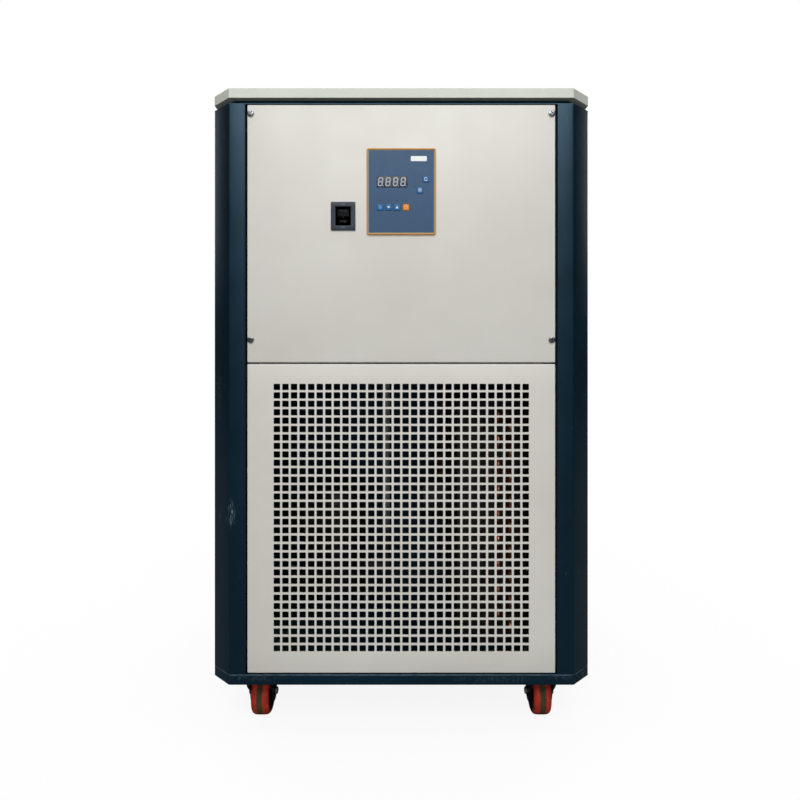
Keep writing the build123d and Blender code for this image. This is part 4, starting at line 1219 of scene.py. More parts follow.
@dataclass
class PanelScrews:
    """Pan-head screws with a cross recess, at the corners of the panels."""

    across: float = 246.0
    head_height: float = 3.2
    cross: float = 3.3
    cross_width: float = 1.5
    cross_depth: float = 1.7
    front_levels: tuple[float, float] = (649.0, 1019.0)
    rear_levels: tuple[float, float] = (130.0, 1019.0)

    def head(self) -> Solid:
        """One screw, with its seat on the XY plane and its shank below it."""
        flat = 3.9
        made = Solid()
        bmesh.ops.create_circle(made.bm, cap_ends=False, segments=24, radius=flat)
        rim = list(made.bm.edges)
        arm, half = self.cross, self.cross_width / 2
        star = [(arm, -half), (arm, half), (half, half), (half, arm), (-half, arm), (-half, half),
                (-arm, half), (-arm, -half), (-half, -half), (-half, -arm), (half, -arm), (half, -half)]
        corners = [made.bm.verts.new((x, y, 0)) for x, y in star]
        recess = [made.bm.edges.new((a, b)) for a, b in zip(corners, corners[1:] + corners[:1])]
        bmesh.ops.triangle_fill(made.bm, use_beauty=True, edges=rim + recess)
        bmesh.ops.translate(made.bm, vec=(0, 0, self.head_height), verts=made.bm.verts)
        inside = [face for face in made.bm.faces if all(v in corners for v in face.verts)]
        bmesh.ops.delete(made.bm, geom=inside, context="FACES_ONLY")
        for radius_step, drop in ((0.95, 0.35), (0.45, 0.75), (0.2, 1.1), (0.0, 1.0)):
            grown = bmesh.ops.extrude_edge_only(made.bm, edges=rim)["geom"]
            rim = edges_in(grown)
            ring = verts_in(grown)
            bmesh.ops.translate(made.bm, vec=(0, 0, -drop), verts=ring)
            reach = (ring[0].co.xy.length + radius_step) / ring[0].co.xy.length
            bmesh.ops.scale(made.bm, vec=(reach, reach, 1), verts=ring)
        grown = bmesh.ops.extrude_edge_only(made.bm, edges=recess)["geom"]
        floor = verts_in(grown)
        bmesh.ops.translate(made.bm, vec=(0, 0, -self.cross_depth), verts=floor)
        bmesh.ops.scale(made.bm, vec=(0.6, 0.6, 1), verts=floor)
        bmesh.ops.contextual_create(made.bm, geom=edges_in(grown))
        bmesh.ops.contextual_create(made.bm, geom=rim)
        return made.outward()

    def build(self) -> None:
        """Puts a screw at each corner of the upper front panel and of the rear panel."""
        made = Solid()
        sides = ((FRONTWARD, 0.0, self.front_levels), (REARWARD, DEPTH, self.rear_levels))
        for axis, depth, levels in sides:
            for turn, (x, z) in enumerate((x, z) for x in (-self.across, self.across) for z in levels):
                screw = self.head().spun(17 + 31 * turn)
                shank = Solid.disc(2.0, 14.0, 16).shifted(0, 0, -14.0)
                made.join(screw.facing(at(x, depth, z), axis), shank.facing(at(x, depth, z), axis))
        made.finish("cross_recess_screws", ZINC_PLATE, "cabinet", Slot.SCREW, ["panel_screws"])


@dataclass
class Controller:
    """The controller's face: bezel, printed film, window with unlit digits, keys and their signs."""

    height: float = 891.0
    bezel_w: float = 113.0
    bezel_h: float = 141.0
    bezel_t: float = 3.2
    film_w: float = 108.0
    film_h: float = 136.0
    film_t: float = 2.0
    film_wall: float = 0.8
    floor_t: float = 1.3
    pane_seat: float = 1.2
    stroke: float = 2.2
    digit_gap: float = 1.1
    digit_slant: float = 6.0
    window: tuple[float, float] = (-15.0, 907.0)
    window_w: float = 50.3
    window_h: float = 19.0
    line_w: float = 0.8
    digit_h: float = 14.8
    digit_w: float = 8.7
    digit_pitch: float = 12.3
    key: float = 10.2
    key_front: float = 2.9
    label: tuple[float, float] = (28.6, 944.7)
    keys: dict[str, tuple[float, float]] = field(default_factory=lambda: {
        "mode_key": (-34.6, 865.0), "down_key": (-20.6, 865.0), "up_key": (-6.9, 865.0),
        "set_key": (7.8, 865.0), "pump_key": (40.0, 911.0), "cooling_key": (30.6, 893.0),
    })

    def front(self, solid: Solid, x: float, z: float, proud: float) -> Solid:
        """Stands a flat drawing on the front, this far proud of the panels."""
        return solid.facing(at(x, -proud, z), FRONTWARD)

    def bezel(self) -> None:
        """The amber frame, rounded over at its outer and inner edges."""
        made = Solid.plate(self.bezel_w, self.bezel_h, self.bezel_t, 3.5, 5)
        made.bm.normal_update()
        face = max(made.bm.faces, key=lambda f: (round(f.normal.z, 3), f.calc_area()))
        rim = (self.bezel_w - self.film_w) / 2
        bmesh.ops.inset_region(made.bm, faces=[face], thickness=rim, depth=0.0, use_even_offset=True)
        bmesh.ops.inset_region(made.bm, faces=[face], thickness=0.01, depth=-(self.bezel_t - self.floor_t),
                               use_even_offset=True)
        made.soften(0.55, 3, 40.0, lambda e: min(v.co.z for v in e.verts) > self.bezel_t - 0.1)
        self.front(made, 0, self.height, 0.0).finish(
            "bezel_frame", AMBER_ABS, "cabinet", Slot.BEZEL, ["controller_bezel"])

    def film(self) -> None:
        """The printed film, with a pale line just inside its edge."""
        half = Vector((self.film_w / 2, self.film_h / 2, 0))
        made = Solid.block(-half, half + Z_AXIS * self.film_t)
        openings = [(self.window[0], self.window[1] - self.height, self.window_w, self.window_h)]
        openings += [(x, z - self.height, self.key + 0.7, self.key + 0.7) for x, z in self.keys.values()]
        skin = [face for face in made.bm.faces if face.normal.z > 0.9]
        cuts = []
        for x, y, width, height in openings:
            cuts += [(Vector((x + s * width / 2, 0, 0)), X_AXIS) for s in (-1, 1)]
            cuts += [(Vector((0, y + s * height / 2, 0)), Y_AXIS) for s in (-1, 1)]
        made.pierce(skin, cuts, lambda p: any(
            abs(p.x - x) < w / 2 and abs(p.y - y) < h / 2 for x, y, w, h in openings))
        rims = [edge for edge in made.bm.edges if edge.is_boundary]
        made.draw(rims, (0, 0, -self.film_wall))
        self.front(made.outward(), 0, self.height, 0.0).finish(
            "printed_film", BLUE_FILM, "cabinet", Slot.OVERLAY, ["controller_overlay"])
        backing = Solid.plate(self.film_w - 4, self.film_h - 4, 0.1)
        self.front(backing, 0, self.height, self.floor_t + 0.01).finish(
            "film_backing", BLACK_ABS, "cabinet", Slot.OVERLAY)
        line = Solid()
        span_x, span_y, wide = self.film_w, self.film_h, self.line_w
        for width, height, x, y in (
            (span_x, wide, 0, (span_y - wide) / 2), (span_x, wide, 0, (wide - span_y) / 2),
            (wide, span_y - 2 * wide, (span_x - wide) / 2, 0),
            (wide, span_y - 2 * wide, (wide - span_x) / 2, 0),
        ):
            line.join(Solid.plate(width, height, INK_T).shifted(x, y, 0))
        self.front(line, 0, self.height, self.film_t + 0.01).finish(
            "film_edge_line", EDGE_INK, "cabinet", Slot.OVERLAY)

    def digit(self) -> Solid:
        """One slanted seven-segment digit with its point, centred on the XY plane."""
        made = Solid()
        height, width, half = self.digit_h, self.digit_w, self.stroke / 2
        tip = width / 2 - self.digit_gap
        flank = tip - half
        bar = [(-tip, 0), (-flank, half), (flank, half), (tip, 0), (flank, -half), (-flank, -half)]
        reach = (height - self.stroke) / 4
        for y in (-2 * reach, 0.0, 2 * reach):
            made.join(Solid.outline(bar, INK_T).shifted(0, y, 0))
        upright = Matrix.Rotation(math.pi / 2, 4, "Z") @ Matrix.Diagonal((0.98, 1, 1, 1))
        for x in (-width / 2 + half + 0.1, width / 2 - half - 0.1):
            for y in (-reach, reach):
                made.join(Solid.outline(bar, INK_T).moved(Matrix.Translation((x, y, 0)) @ upright))
        made.join(Solid.disc(0.75, INK_T, 14).shifted(width / 2 + 1.0, -height / 2 + 0.7, 0))
        slant = Matrix.Identity(4)
        slant[0][1] = math.tan(math.radians(self.digit_slant))
        return made.moved(slant)

    def display(self) -> None:
        """The smoked window and its four unlit digits."""
        pane = Solid.plate(self.window_w - 0.1, self.window_h - 0.1, self.film_t - self.pane_seat)
        pane.soften(0.15, 2, 60.0)
        self.front(pane, *self.window, self.pane_seat).finish(
            "display_pane", SMOKED_WINDOW, "cabinet", Slot.WINDOW, ["display_window"])
        digits = Solid()
        for number in range(4):
            digits.join(self.digit().shifted((number - 1.5) * self.digit_pitch - 0.4, 0, 0))
        self.front(digits, *self.window, self.film_t + 0.01).finish(
            "unlit_digits", SEGMENT_FILM, "cabinet", Slot.WINDOW)

    def sign(self, name: str) -> Solid:
        """The printed sign of a key, centred on the XY plane.

        Args:
            name: The key's name.

        Returns:
            A flat solid.
        """
        made = Solid()
        if name in ("down_key", "up_key"):
            arrow = Solid.outline([(-2.5, -1.7), (2.5, -1.7), (0, 2.3)], INK_T)
            made.join(arrow.spun(180 if name == "down_key" else 0))
        elif name == "set_key":
            made.join(Solid.turned([(2.2, 0), (2.9, 0), (2.9, INK_T), (2.2, INK_T)], 28, ring=True))
        elif name == "mode_key":
            for y in (-1.6, 0.0, 1.6):
                made.join(Solid.plate(4.4, 0.6, INK_T).shifted(0, y, 0))
        elif name == "pump_key":
            bmesh.ops.create_grid(made.bm, x_segments=1, y_segments=1, size=0.5,
                                  matrix=(Matrix.Translation((2.45, 0, 0))
                                          @ Matrix.Diagonal((0.7, 0.01, 1, 1))))
            edge = [e for e in made.bm.edges if abs(e.verts[0].co.x - e.verts[1].co.x) > 0.3][:1]
            bmesh.ops.delete(made.bm, geom=[e for e in made.bm.edges if e not in edge], context="EDGES")
            bmesh.ops.spin(made.bm, geom=edge + list(edge[0].verts), cent=(0, 0, 0), axis=(0, 0, 1),
                           angle=math.radians(290), steps=24)
            made.raise_faces(list(made.bm.faces), Z_AXIS * INK_T)
            head = Solid.outline([(1.1, 0), (3.8, 0), (2.45, 2.0)], INK_T)
            made.join(head.spun(-70))
        else:
            for turn in range(3):
                made.join(Solid.plate(0.55, 6.2, INK_T).spun(60 * turn))
            for turn in range(6):
                for side in (-1, 1):
                    tip = Solid.plate(0.45, 1.4, INK_T).moved(
                        Matrix.Rotation(math.radians(60 * turn), 4, "Z")
                        @ Matrix.Translation((side * 0.5, 2.3, 0))
                        @ Matrix.Rotation(math.radians(-side * 45), 4, "Z"))
                    made.join(tip)
        return made

    def key_caps(self) -> None:
        """The keys, slightly dished, each with its sign."""
        for name, (x, z) in self.keys.items():
            cap = Solid.plate(self.key, self.key, self.key_front + 0.3, 1.2, 4)
            cap.soften(0.6, 3, 60.0, lambda e: min(v.co.z for v in e.verts) > 1.0)
            orange = name == "set_key"
            self.front(cap, x, z, -0.3).finish(
                f"{name}_cap", ORANGE_KEY if orange else BLUE_KEY, name,
                Slot.KEY_ORANGE if orange else Slot.KEY_BLUE, [name])
            ink = {"mode_key": FAINT_INK, "set_key": AMBER_INK}.get(name, WHITE_INK)
            self.front(self.sign(name), x, z, self.key_front + 0.005).finish(
                f"{name}_sign", ink, name, Slot.KEY_ORANGE if orange else Slot.KEY_BLUE)

    def prints(self) -> None:
        """The blank label and the small dark lamps beside the keys."""
        label = Solid.plate(26.1, 8.2, 0.06, 1.4, 4)
        self.front(label, *self.label, self.film_t + 0.005).finish(
            "blank_label", PAPER_LABEL, "cabinet", Slot.OVERLAY)
        lamps = Solid()
        for name, (x, z) in self.keys.items():
            row = z < 880
            place = (x, z - self.height + 11.5) if row else (x - 9.0, z - self.height + 5.5)
            lamps.join(Solid.plate(4.4 if row else 2.8, 1.4, 0.05, 0.4, 3).shifted(*place, 0))
        self.front(lamps, 0, self.height, self.film_t + 0.005).finish(
            "lamp_windows", DARK_INK, "cabinet", Slot.OVERLAY)

    def build(self) -> None:
        """Makes the controller's face."""
        self.bezel()
        self.film()
        self.display()
        self.key_caps()
        self.prints()


@dataclass
class MainsSwitch:
    """The mains switch: a plate with a deep recess, a rocker in it and the words ON and OFF."""

    across: float = -95.0
    height: float = 851.0
    width: float = 40.0
    tall: float = 46.5
    rim: float = 2.6
    recess_w: float = 25.0
    recess_h: float = 31.0
    recess_d: float = 8.0
    wall: float = 3.0
    behind: float = 24.0
    pivot_depth: float = 3.5
    rocker_w: float = 19.0
    rocker_h: float = 22.5
    throw: float = 8.0

    def build(self) -> None:
        """Makes the housing, the rocker and the two words."""
        half = Vector((self.width / 2, self.tall / 2, 0))
        made = Solid.block(-half, half + Z_AXIS * self.rim)
        mouth_x, mouth_y = self.recess_w / 2, self.recess_h / 2
        cuts = [(X_AXIS * side * mouth_x, X_AXIS) for side in (-1, 1)]
        cuts += [(Y_AXIS * side * mouth_y, Y_AXIS) for side in (-1, 1)]
        made.bm.normal_update()
        skin = [face for face in made.bm.faces if face.normal.z > 0.9]
        made.pierce(skin, cuts, lambda p: abs(p.x) < mouth_x and abs(p.y) < mouth_y)
        rim = [edge for edge in made.bm.edges if edge.is_boundary]
        grown = made.draw(rim, (0, 0, -self.rim - self.recess_d))
        bmesh.ops.contextual_create(made.bm, geom=edges_in(grown))
        made.outward()
        made.soften(0.7, 3, 60.0, lambda e: max(v.co.z for v in e.verts) > self.rim - 0.1)
        wall_x, wall_y = mouth_x + self.wall, mouth_y + self.wall
        back = -self.recess_d - 0.4
        body = Solid.block(Vector((-wall_x, -wall_y, -self.behind)), Vector((wall_x, wall_y, back)))
        for side in (-1, 1):
            low_x, high_x = sorted((side * (mouth_x - 0.2), side * wall_x))
            low_y, high_y = sorted((side * mouth_y, side * wall_y))
            cheek = Solid.block(Vector((low_x, -wall_y, back)), Vector((high_x, wall_y, -0.1)))
            end = Solid.block(Vector((-wall_x, low_y, back)), Vector((wall_x, high_y, -0.1)))
            body.join(cheek, end)
        made.join(body)
        made.facing(at(self.across, 0, self.height), FRONTWARD).finish(
            "switch_plate", SWITCH_ABS, "cabinet", Slot.PLASTIC, ["switch_housing"])
        self.rocker()
        for words, z in (("ON", 869.6), ("OFF", 832.4)):
            lettering(words, 2.8).facing(at(self.across, -self.rim - 0.03, z), FRONTWARD).finish(
                f"word_{words.lower()}", GREY_INK, "cabinet", Slot.PLASTIC)

    def rocker(self) -> None:
        """The rocker, with two dished faces, grip ribs and its pins."""
        half = self.rocker_h / 2
        profile = [(-5.0, half), (-3.8, half * 0.5), (-3.4, 0), (-3.8, -half * 0.5), (-5.0, -half),
                   (-1.0, -half), (3.0, -3.0), (3.0, 3.0), (-1.0, half)]
        made = Solid.outline(profile, self.rocker_w)
        bmesh.ops.translate(made.bm, vec=(0, 0, -self.rocker_w / 2), verts=made.bm.verts)
        made.soften(0.45, 2, 25.0)
        for y in (half - 2.4, -half + 2.4, -half + 4.6):
            rib = Solid.block(Vector((-5.25, y - 0.35, -6.5)), Vector((-3.4, y + 0.35, 6.5)), 0.25, 2)
            made.join(rib)
        made.join(Solid.block(Vector((-4.6, -2.4, -0.6)), Vector((-3.2, 0.4, 0.6)), 0.3, 2))
        for side in (-1, 1):
            pin = Solid.disc(2.0, 4.0, 20)
            made.join(pin.shifted(0, 0, side * 11.5 - 2.0))
        tilt = Matrix.Rotation(math.radians(self.throw), 4, "X")
        made.moved(Matrix.Translation(at(self.across, self.pivot_depth, self.height)) @ tilt @ SIDE_ON)
        made.finish("rocker_cap", ROCKER_ABS, "switch_rocker", Slot.PLASTIC, ["switch_rocker"])


@dataclass
class Condenser:
    """The condenser's return bends in front of its end plate."""

    first_x: float = 152.0
    pitch_x: float = 21.0
    pitch_z: float = 22.25
    low: float = 126.0
    columns: int = 4
    bends: int = 9
    tube: float = 4.8
    plate_depth: float = 110.5
    straight: float = 8.0

    def bend(self) -> Solid:
        """One return bend, rising from the origin, with its straight ends towards the rear."""
        made = Solid()
        bmesh.ops.create_circle(made.bm, cap_ends=False, segments=16, radius=self.tube,
                                matrix=Matrix.Rotation(math.pi / 2, 4, "X"))
        ring = list(made.bm.edges)
        grown = made.draw(ring, FRONTWARD * self.straight)
        edges = [edge for edge in edges_in(grown) if len(edge.link_faces) == 1]
        turned = bmesh.ops.spin(made.bm, geom=verts_in(grown) + edges, axis=(-1, 0, 0), angle=math.pi, steps=14,
                                cent=(0, -self.straight, self.pitch_z / 2))["geom_last"]
        edges = edges_in(turned)
        made.draw(edges, REARWARD * self.straight)
        bmesh.ops.remove_doubles(made.bm, verts=made.bm.verts, dist=0.01)
        return made.outward()

    def build(self) -> None:
        """Places the bends in staggered columns, each with its brazed sockets."""
        made = Solid()
        for column in range(self.columns):
            stagger = self.pitch_z * (column % 2)
            for level in range(self.bends):
                place = at(self.first_x + column * self.pitch_x, self.plate_depth,
                           self.low + stagger + 2 * level * self.pitch_z)
                made.join(self.bend().moved(Matrix.Translation(place)))
                for rise in (0.0, self.pitch_z):
                    collar = Solid.turned([(self.tube, 0), (self.tube + 0.7, 0), (self.tube + 0.7, 5.5),
                                           (self.tube + 0.1, 6.3)], 16)
                    made.join(collar.facing(place + Z_AXIS * rise, FRONTWARD))
        made.finish("return_bends", COPPER, "cabinet", Slot.COPPER, ["condenser_bends"])


@dataclass
class FillerCap:
    """The tank's screw cap, ribbed for grip, with a dished top and a hollow under it."""

    radius: float = 38.0
    skirt: float = 36.9
    hollow: float = 32.5
    hollow_depth: float = 7.0
    ribs: int = 36
    rib: float = 2.2

    def build(self) -> None:
        """Makes the cap inside the node's own box."""
        low, high = (Vector(corner) * 1000 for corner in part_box("filler_cap"))
        middle = Vector(((low.x + high.x) / 2, (low.y + high.y) / 2, low.z))
        tall = high.z - low.z
        made = Solid.turned([
            (0, tall - 1.4), (24.0, tall - 1.4), (25.4, tall - 0.3), (26.2, tall), (33.4, tall),
            (35.6, tall - 0.9),
            (self.skirt, tall - 2.8), (self.skirt, 0.8), (self.skirt - 0.8, 0), (self.hollow, 0),
            (self.hollow, self.hollow_depth), (0, self.hollow_depth),
        ], 72)
        for number in range(self.ribs):
            rib = Solid.block(Vector((self.skirt - 0.6, -self.rib / 2, 1.2)),
                              Vector((self.radius, self.rib / 2, tall - 3.4)), 0.5, 2)
            made.join(rib.moved(Matrix.Rotation(math.tau * number / self.ribs, 4, "Z")))
        made.moved(Matrix.Translation(middle)).finish(
            "ribbed_cap", BLACK_ABS, "filler_cap", Slot.PLASTIC, ["filler_cap"])


@dataclass
class RearPorts:
    """The hose tails, the drain valve with its lever and the cable gland on the rear panel."""

    tails_x: tuple[float, float] = (-80.0, 95.0)
    tail_z: float = 830.0
    drain: tuple[float, float] = (10.0, 650.0)
    gland: tuple[float, float] = (200.0, 660.0)
    hexagon: float = 14.0
    hexagon_t: float = 8.0
    tail: float = 6.0
    bore: float = 4.0
    reach: float = 46.0

    def nut(self, corner: float, thick: float) -> Solid:
        """A hexagon with its corners turned off, on the XY plane."""
        made = Solid.disc(corner, thick, 6)
        return made.soften(0.6, 2, 50.0)

    def build(self) -> None:
        """Makes the fittings that stand on the rear panel."""
        made = Solid()
        for x in self.tails_x:
            place = at(x, DEPTH, self.tail_z)
            inside = Solid.disc(11.0, 20.0, 32).shifted(0, 0, -20)
            spout = Solid.turned([
                (0, self.reach - 20), (self.bore, self.reach - 20), (self.bore, self.reach - 0.5),
                (self.bore + 0.5, self.reach), (self.tail - 0.5, self.reach), (self.tail, self.reach - 0.5),
                (self.tail, self.hexagon_t), (8.5, self.hexagon_t), (8.5, self.hexagon_t - 2),
                (0, self.hexagon_t - 2),
            ], 32)
            for part in (inside, self.nut(self.hexagon, self.hexagon_t), spout):
                made.join(part.facing(place, REARWARD))
        made.finish("hose_tails", STAINLESS, "cabinet", Slot.STAINLESS, ["hose_ports"])
        self.valve()
        self.gland_body()

    def valve(self) -> None:
        """The quarter-turn valve and its dipped lever."""
        place = at(self.drain[0], DEPTH, self.drain[1])
        made = Solid.disc(11.0, 20.0, 32).shifted(0, 0, -20)
        body = Solid.turned([
            (0, self.hexagon_t - 2), (10.5, self.hexagon_t - 2), (10.5, self.hexagon_t),
            (13.0, self.hexagon_t + 3), (13.0, self.hexagon_t + 15), (11.0, self.hexagon_t + 19),
            (8.5, self.hexagon_t + 20), (8.5, 30.0), (self.tail, 30.0), (self.tail, self.reach - 0.6),
            (self.tail - 0.6, self.reach), (0, self.reach),
        ], 32)
        made.join(self.nut(self.hexagon, self.hexagon_t), body)
        made.facing(place, REARWARD)
        low, high = (Vector(corner) * 1000 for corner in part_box("drain_lever"))
        pivot = Vector((self.drain[0], (low.y + high.y) / 2, 0))
        stem = Solid.disc(3.0, high.z - self.drain[1], 20, 0.3)
        made.join(stem.shifted(pivot.x, pivot.y, self.drain[1]))
        made.finish("ball_valve", BRASS, "cabinet", Slot.BRASS, ["drain_valve"])
        edge = [(-6, -5), (8, -4), (16, -6), (34, -6), (40, -3)]
        arm = Solid.outline(edge + [(x, -y) for x, y in reversed(edge)], high.z - low.z, 2.2, 4)
        arm.soften(0.7, 3, 50.0)
        arm.shifted(pivot.x, pivot.y, low.z).finish(
            "dipped_lever", RED_VINYL, "drain_lever", Slot.LEVER, ["drain_lever"])

    def gland_body(self) -> None:
        """The cable gland, its dome closed because no lead is made."""
        place = at(self.gland[0], DEPTH, self.gland[1])
        made = Solid.disc(10.0, 10.0, 32).shifted(0, 0, -10)
        dome = Solid.turned([
            (0, 5), (10.0, 5), (10.0, 8), (9.4, 13), (8.0, 16.5),
            (6.6, 18), (5.4, 18), (5.0, 16.8), (0, 16.6),
        ], 36)
        made.join(self.nut(15.0, 6.0), dome)
        made.facing(place, REARWARD).finish(
            "gland_nut", BLACK_ABS, "cabinet", Slot.PLASTIC, ["cable_gland"])


@dataclass
class Caster:
    """One swivel caster: stamped fork with its axle bolt, black wheel centre and red tread."""

    place: str
    trail: float = 30.0
    wheel: float = 37.5
    half_width: float = 15.5
    leg_inner: float = 17.5
    leg: float = 2.5
    crown: float = 30.0
    crown_top: float = 90.0
    leg_end: float = 17.0

    @property
    def axle(self) -> Vector:
        """The middle of the wheel, from the node's own box."""
        low, high = (Vector(corner) * 1000 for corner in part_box(f"{self.place}_wheel"))
        return (low + high) / 2

    def leg_plate(self) -> Solid:
        """One leg, drawn in depth and height about the axle, with its rounded end round the bolt."""
        points = [(-self.trail - 20, 47), (-self.trail + 30, 47), (4, 47), (13.5, 18)]
        points += [(self.leg_end * math.cos(math.radians(a)), self.leg_end * math.sin(math.radians(a)))
                   for a in range(20, -171, -19)]
        points += [(-20, 8), (-40, 26), (-50, 41)]
        made = Solid.outline(points, self.leg, 0.0)
        made.soften(0.5, 2, 50.0)
        return made.moved(SIDE_ON)

    def fork(self) -> None:
        """The stamped fork with its crown, and the axle bolt with its nut."""
        axle = self.axle
        top = self.crown_top - axle.z
        made = Solid()
        for side in (-1, 1):
            offset = self.leg_inner if side > 0 else -self.leg_inner - self.leg
            made.join(self.leg_plate().shifted(offset, 0, 0))
            bolt = Solid.disc(6.0, 4.0, 6).soften(0.6, 2, 50.0)
            washer = Solid.disc(9.0, 1.0, 32, 0.3)
            made.join(washer.facing(Vector((side * 20.0, 0, 0)), X_AXIS * side))
            bolt.facing(Vector((side * 20.8, 0, 0)), X_AXIS * side)
            self.bolt_heads(bolt, side)
        crown = Solid.turned([
            (5.05, top - 9), (12, top - 9.5), (19, top - 8), (25, top - 5), (29, top - 3),
            (self.crown, top - 1.6), (self.crown, top - 0.5), (29.4, top), (5.05, top),
        ], 48, ring=True)
        made.join(crown.shifted(0, -self.trail, 0))
        section = [(-self.trail - 19, 46.5), (4, 46.5), (2, 42.5), (-self.trail - 17, 42.5)]
        bridge = Solid.outline(section, 2 * self.leg_inner + 2)
        bridge.soften(0.6, 2, 50.0)
        bridge.moved(SIDE_ON)
        made.join(bridge.shifted(-self.leg_inner - 1, 0, 0))
        made.moved(Matrix.Translation(axle))
        made.finish(f"{self.place}_stamped_fork", BLACK_ZINC, f"{self.place}_fork", Slot.CASTER,
                    [f"{self.place}_fork"])

    def bolt_heads(self, bolt: Solid, side: int) -> None:
        """The bright head or nut of the axle bolt, with the thread's end in it."""
        end = Solid.disc(2.9, 5.4, 20, 0.4).facing(Vector((side * 20.0, 0, 0)), X_AXIS * side)
        bolt.join(end)
        name = "nut" if side > 0 else "head"
        bolt.moved(Matrix.Translation(self.axle)).finish(
            f"{self.place}_axle_{name}", ZINC_NUT, f"{self.place}_fork", Slot.SCREW)

    def wheel_parts(self) -> None:
        """The wheel's centre, with its hub and a dished side, and the cast tread on it."""
        half, radius = self.half_width, self.wheel
        side = [(4.08, half + 1.0), (9.5, half + 1.0), (10.5, half), (12.5, half - 1.5), (25.5, half - 2.2),
                (27.5, half - 0.6), (29.5, half - 0.2), (30.5, half - 1.0)]
        ring = side + [(r, -x) for r, x in reversed(side)]
        centre = Solid.turned(ring, 56, ring=True).facing(self.axle, X_AXIS)
        centre.finish(f"{self.place}_wheel_centre", BLACK_WHEEL, f"{self.place}_wheel", Slot.RUBBER,
                      [f"{self.place}_wheel"])
        edge = [(29.8, half - 0.9), (31.5, half - 0.1), (33.2, half - 0.5), (35.2, half - 1.9),
                (36.6, half - 4.0), (37.3, half - 6.8), (radius, half - 10.5), (radius, 0.0)]
        tread = edge + [(r, -x) for r, x in reversed(edge[:-1])]
        rim = Solid.turned(tread, 72, ring=True).facing(self.axle, X_AXIS)
        rim.finish(f"{self.place}_tread", RED_TREAD, f"{self.place}_wheel", Slot.TREAD,
                   [f"{self.place}_wheel"], crease=50.0)

    def head(self) -> Solid:
        """The swivel head's pressed plate and its lower race, above the fork."""
        axle = self.axle
        made = Solid.turned([
            (5.0, 84.0), (5.0, 90.2), (27.0, 90.2), (28.8, 91.2), (28.8, 93.5), (24.5, 96.0), (23.0, 99.0),
            (28.0, 100.4), (0, 100.4), (0, 84.0),
        ], 48)
        nut = Solid.disc(10.5, 8.0, 6).soften(0.7, 2, 50.0).shifted(0, 0, 102.1)
        stud = Solid.disc(6.0, 3.0, 24).shifted(0, 0, 100)
        return made.join(nut, stud).shifted(axle.x, axle.y - self.trail, 0)


@dataclass
class Casters:
    """The four casters under the base pan."""

    places: tuple[str, ...] = ("front_left", "front_right", "rear_left", "rear_right")

    def build(self) -> None:
        """Makes each caster and the four heads together."""
        heads = Solid()
        for place in self.places:
            caster = Caster(place)
            caster.fork()
            caster.wheel_parts()
            heads.join(caster.head())
        heads.finish("swivel_heads", BLACK_ZINC, "cabinet", Slot.CASTER, ["caster_heads"])


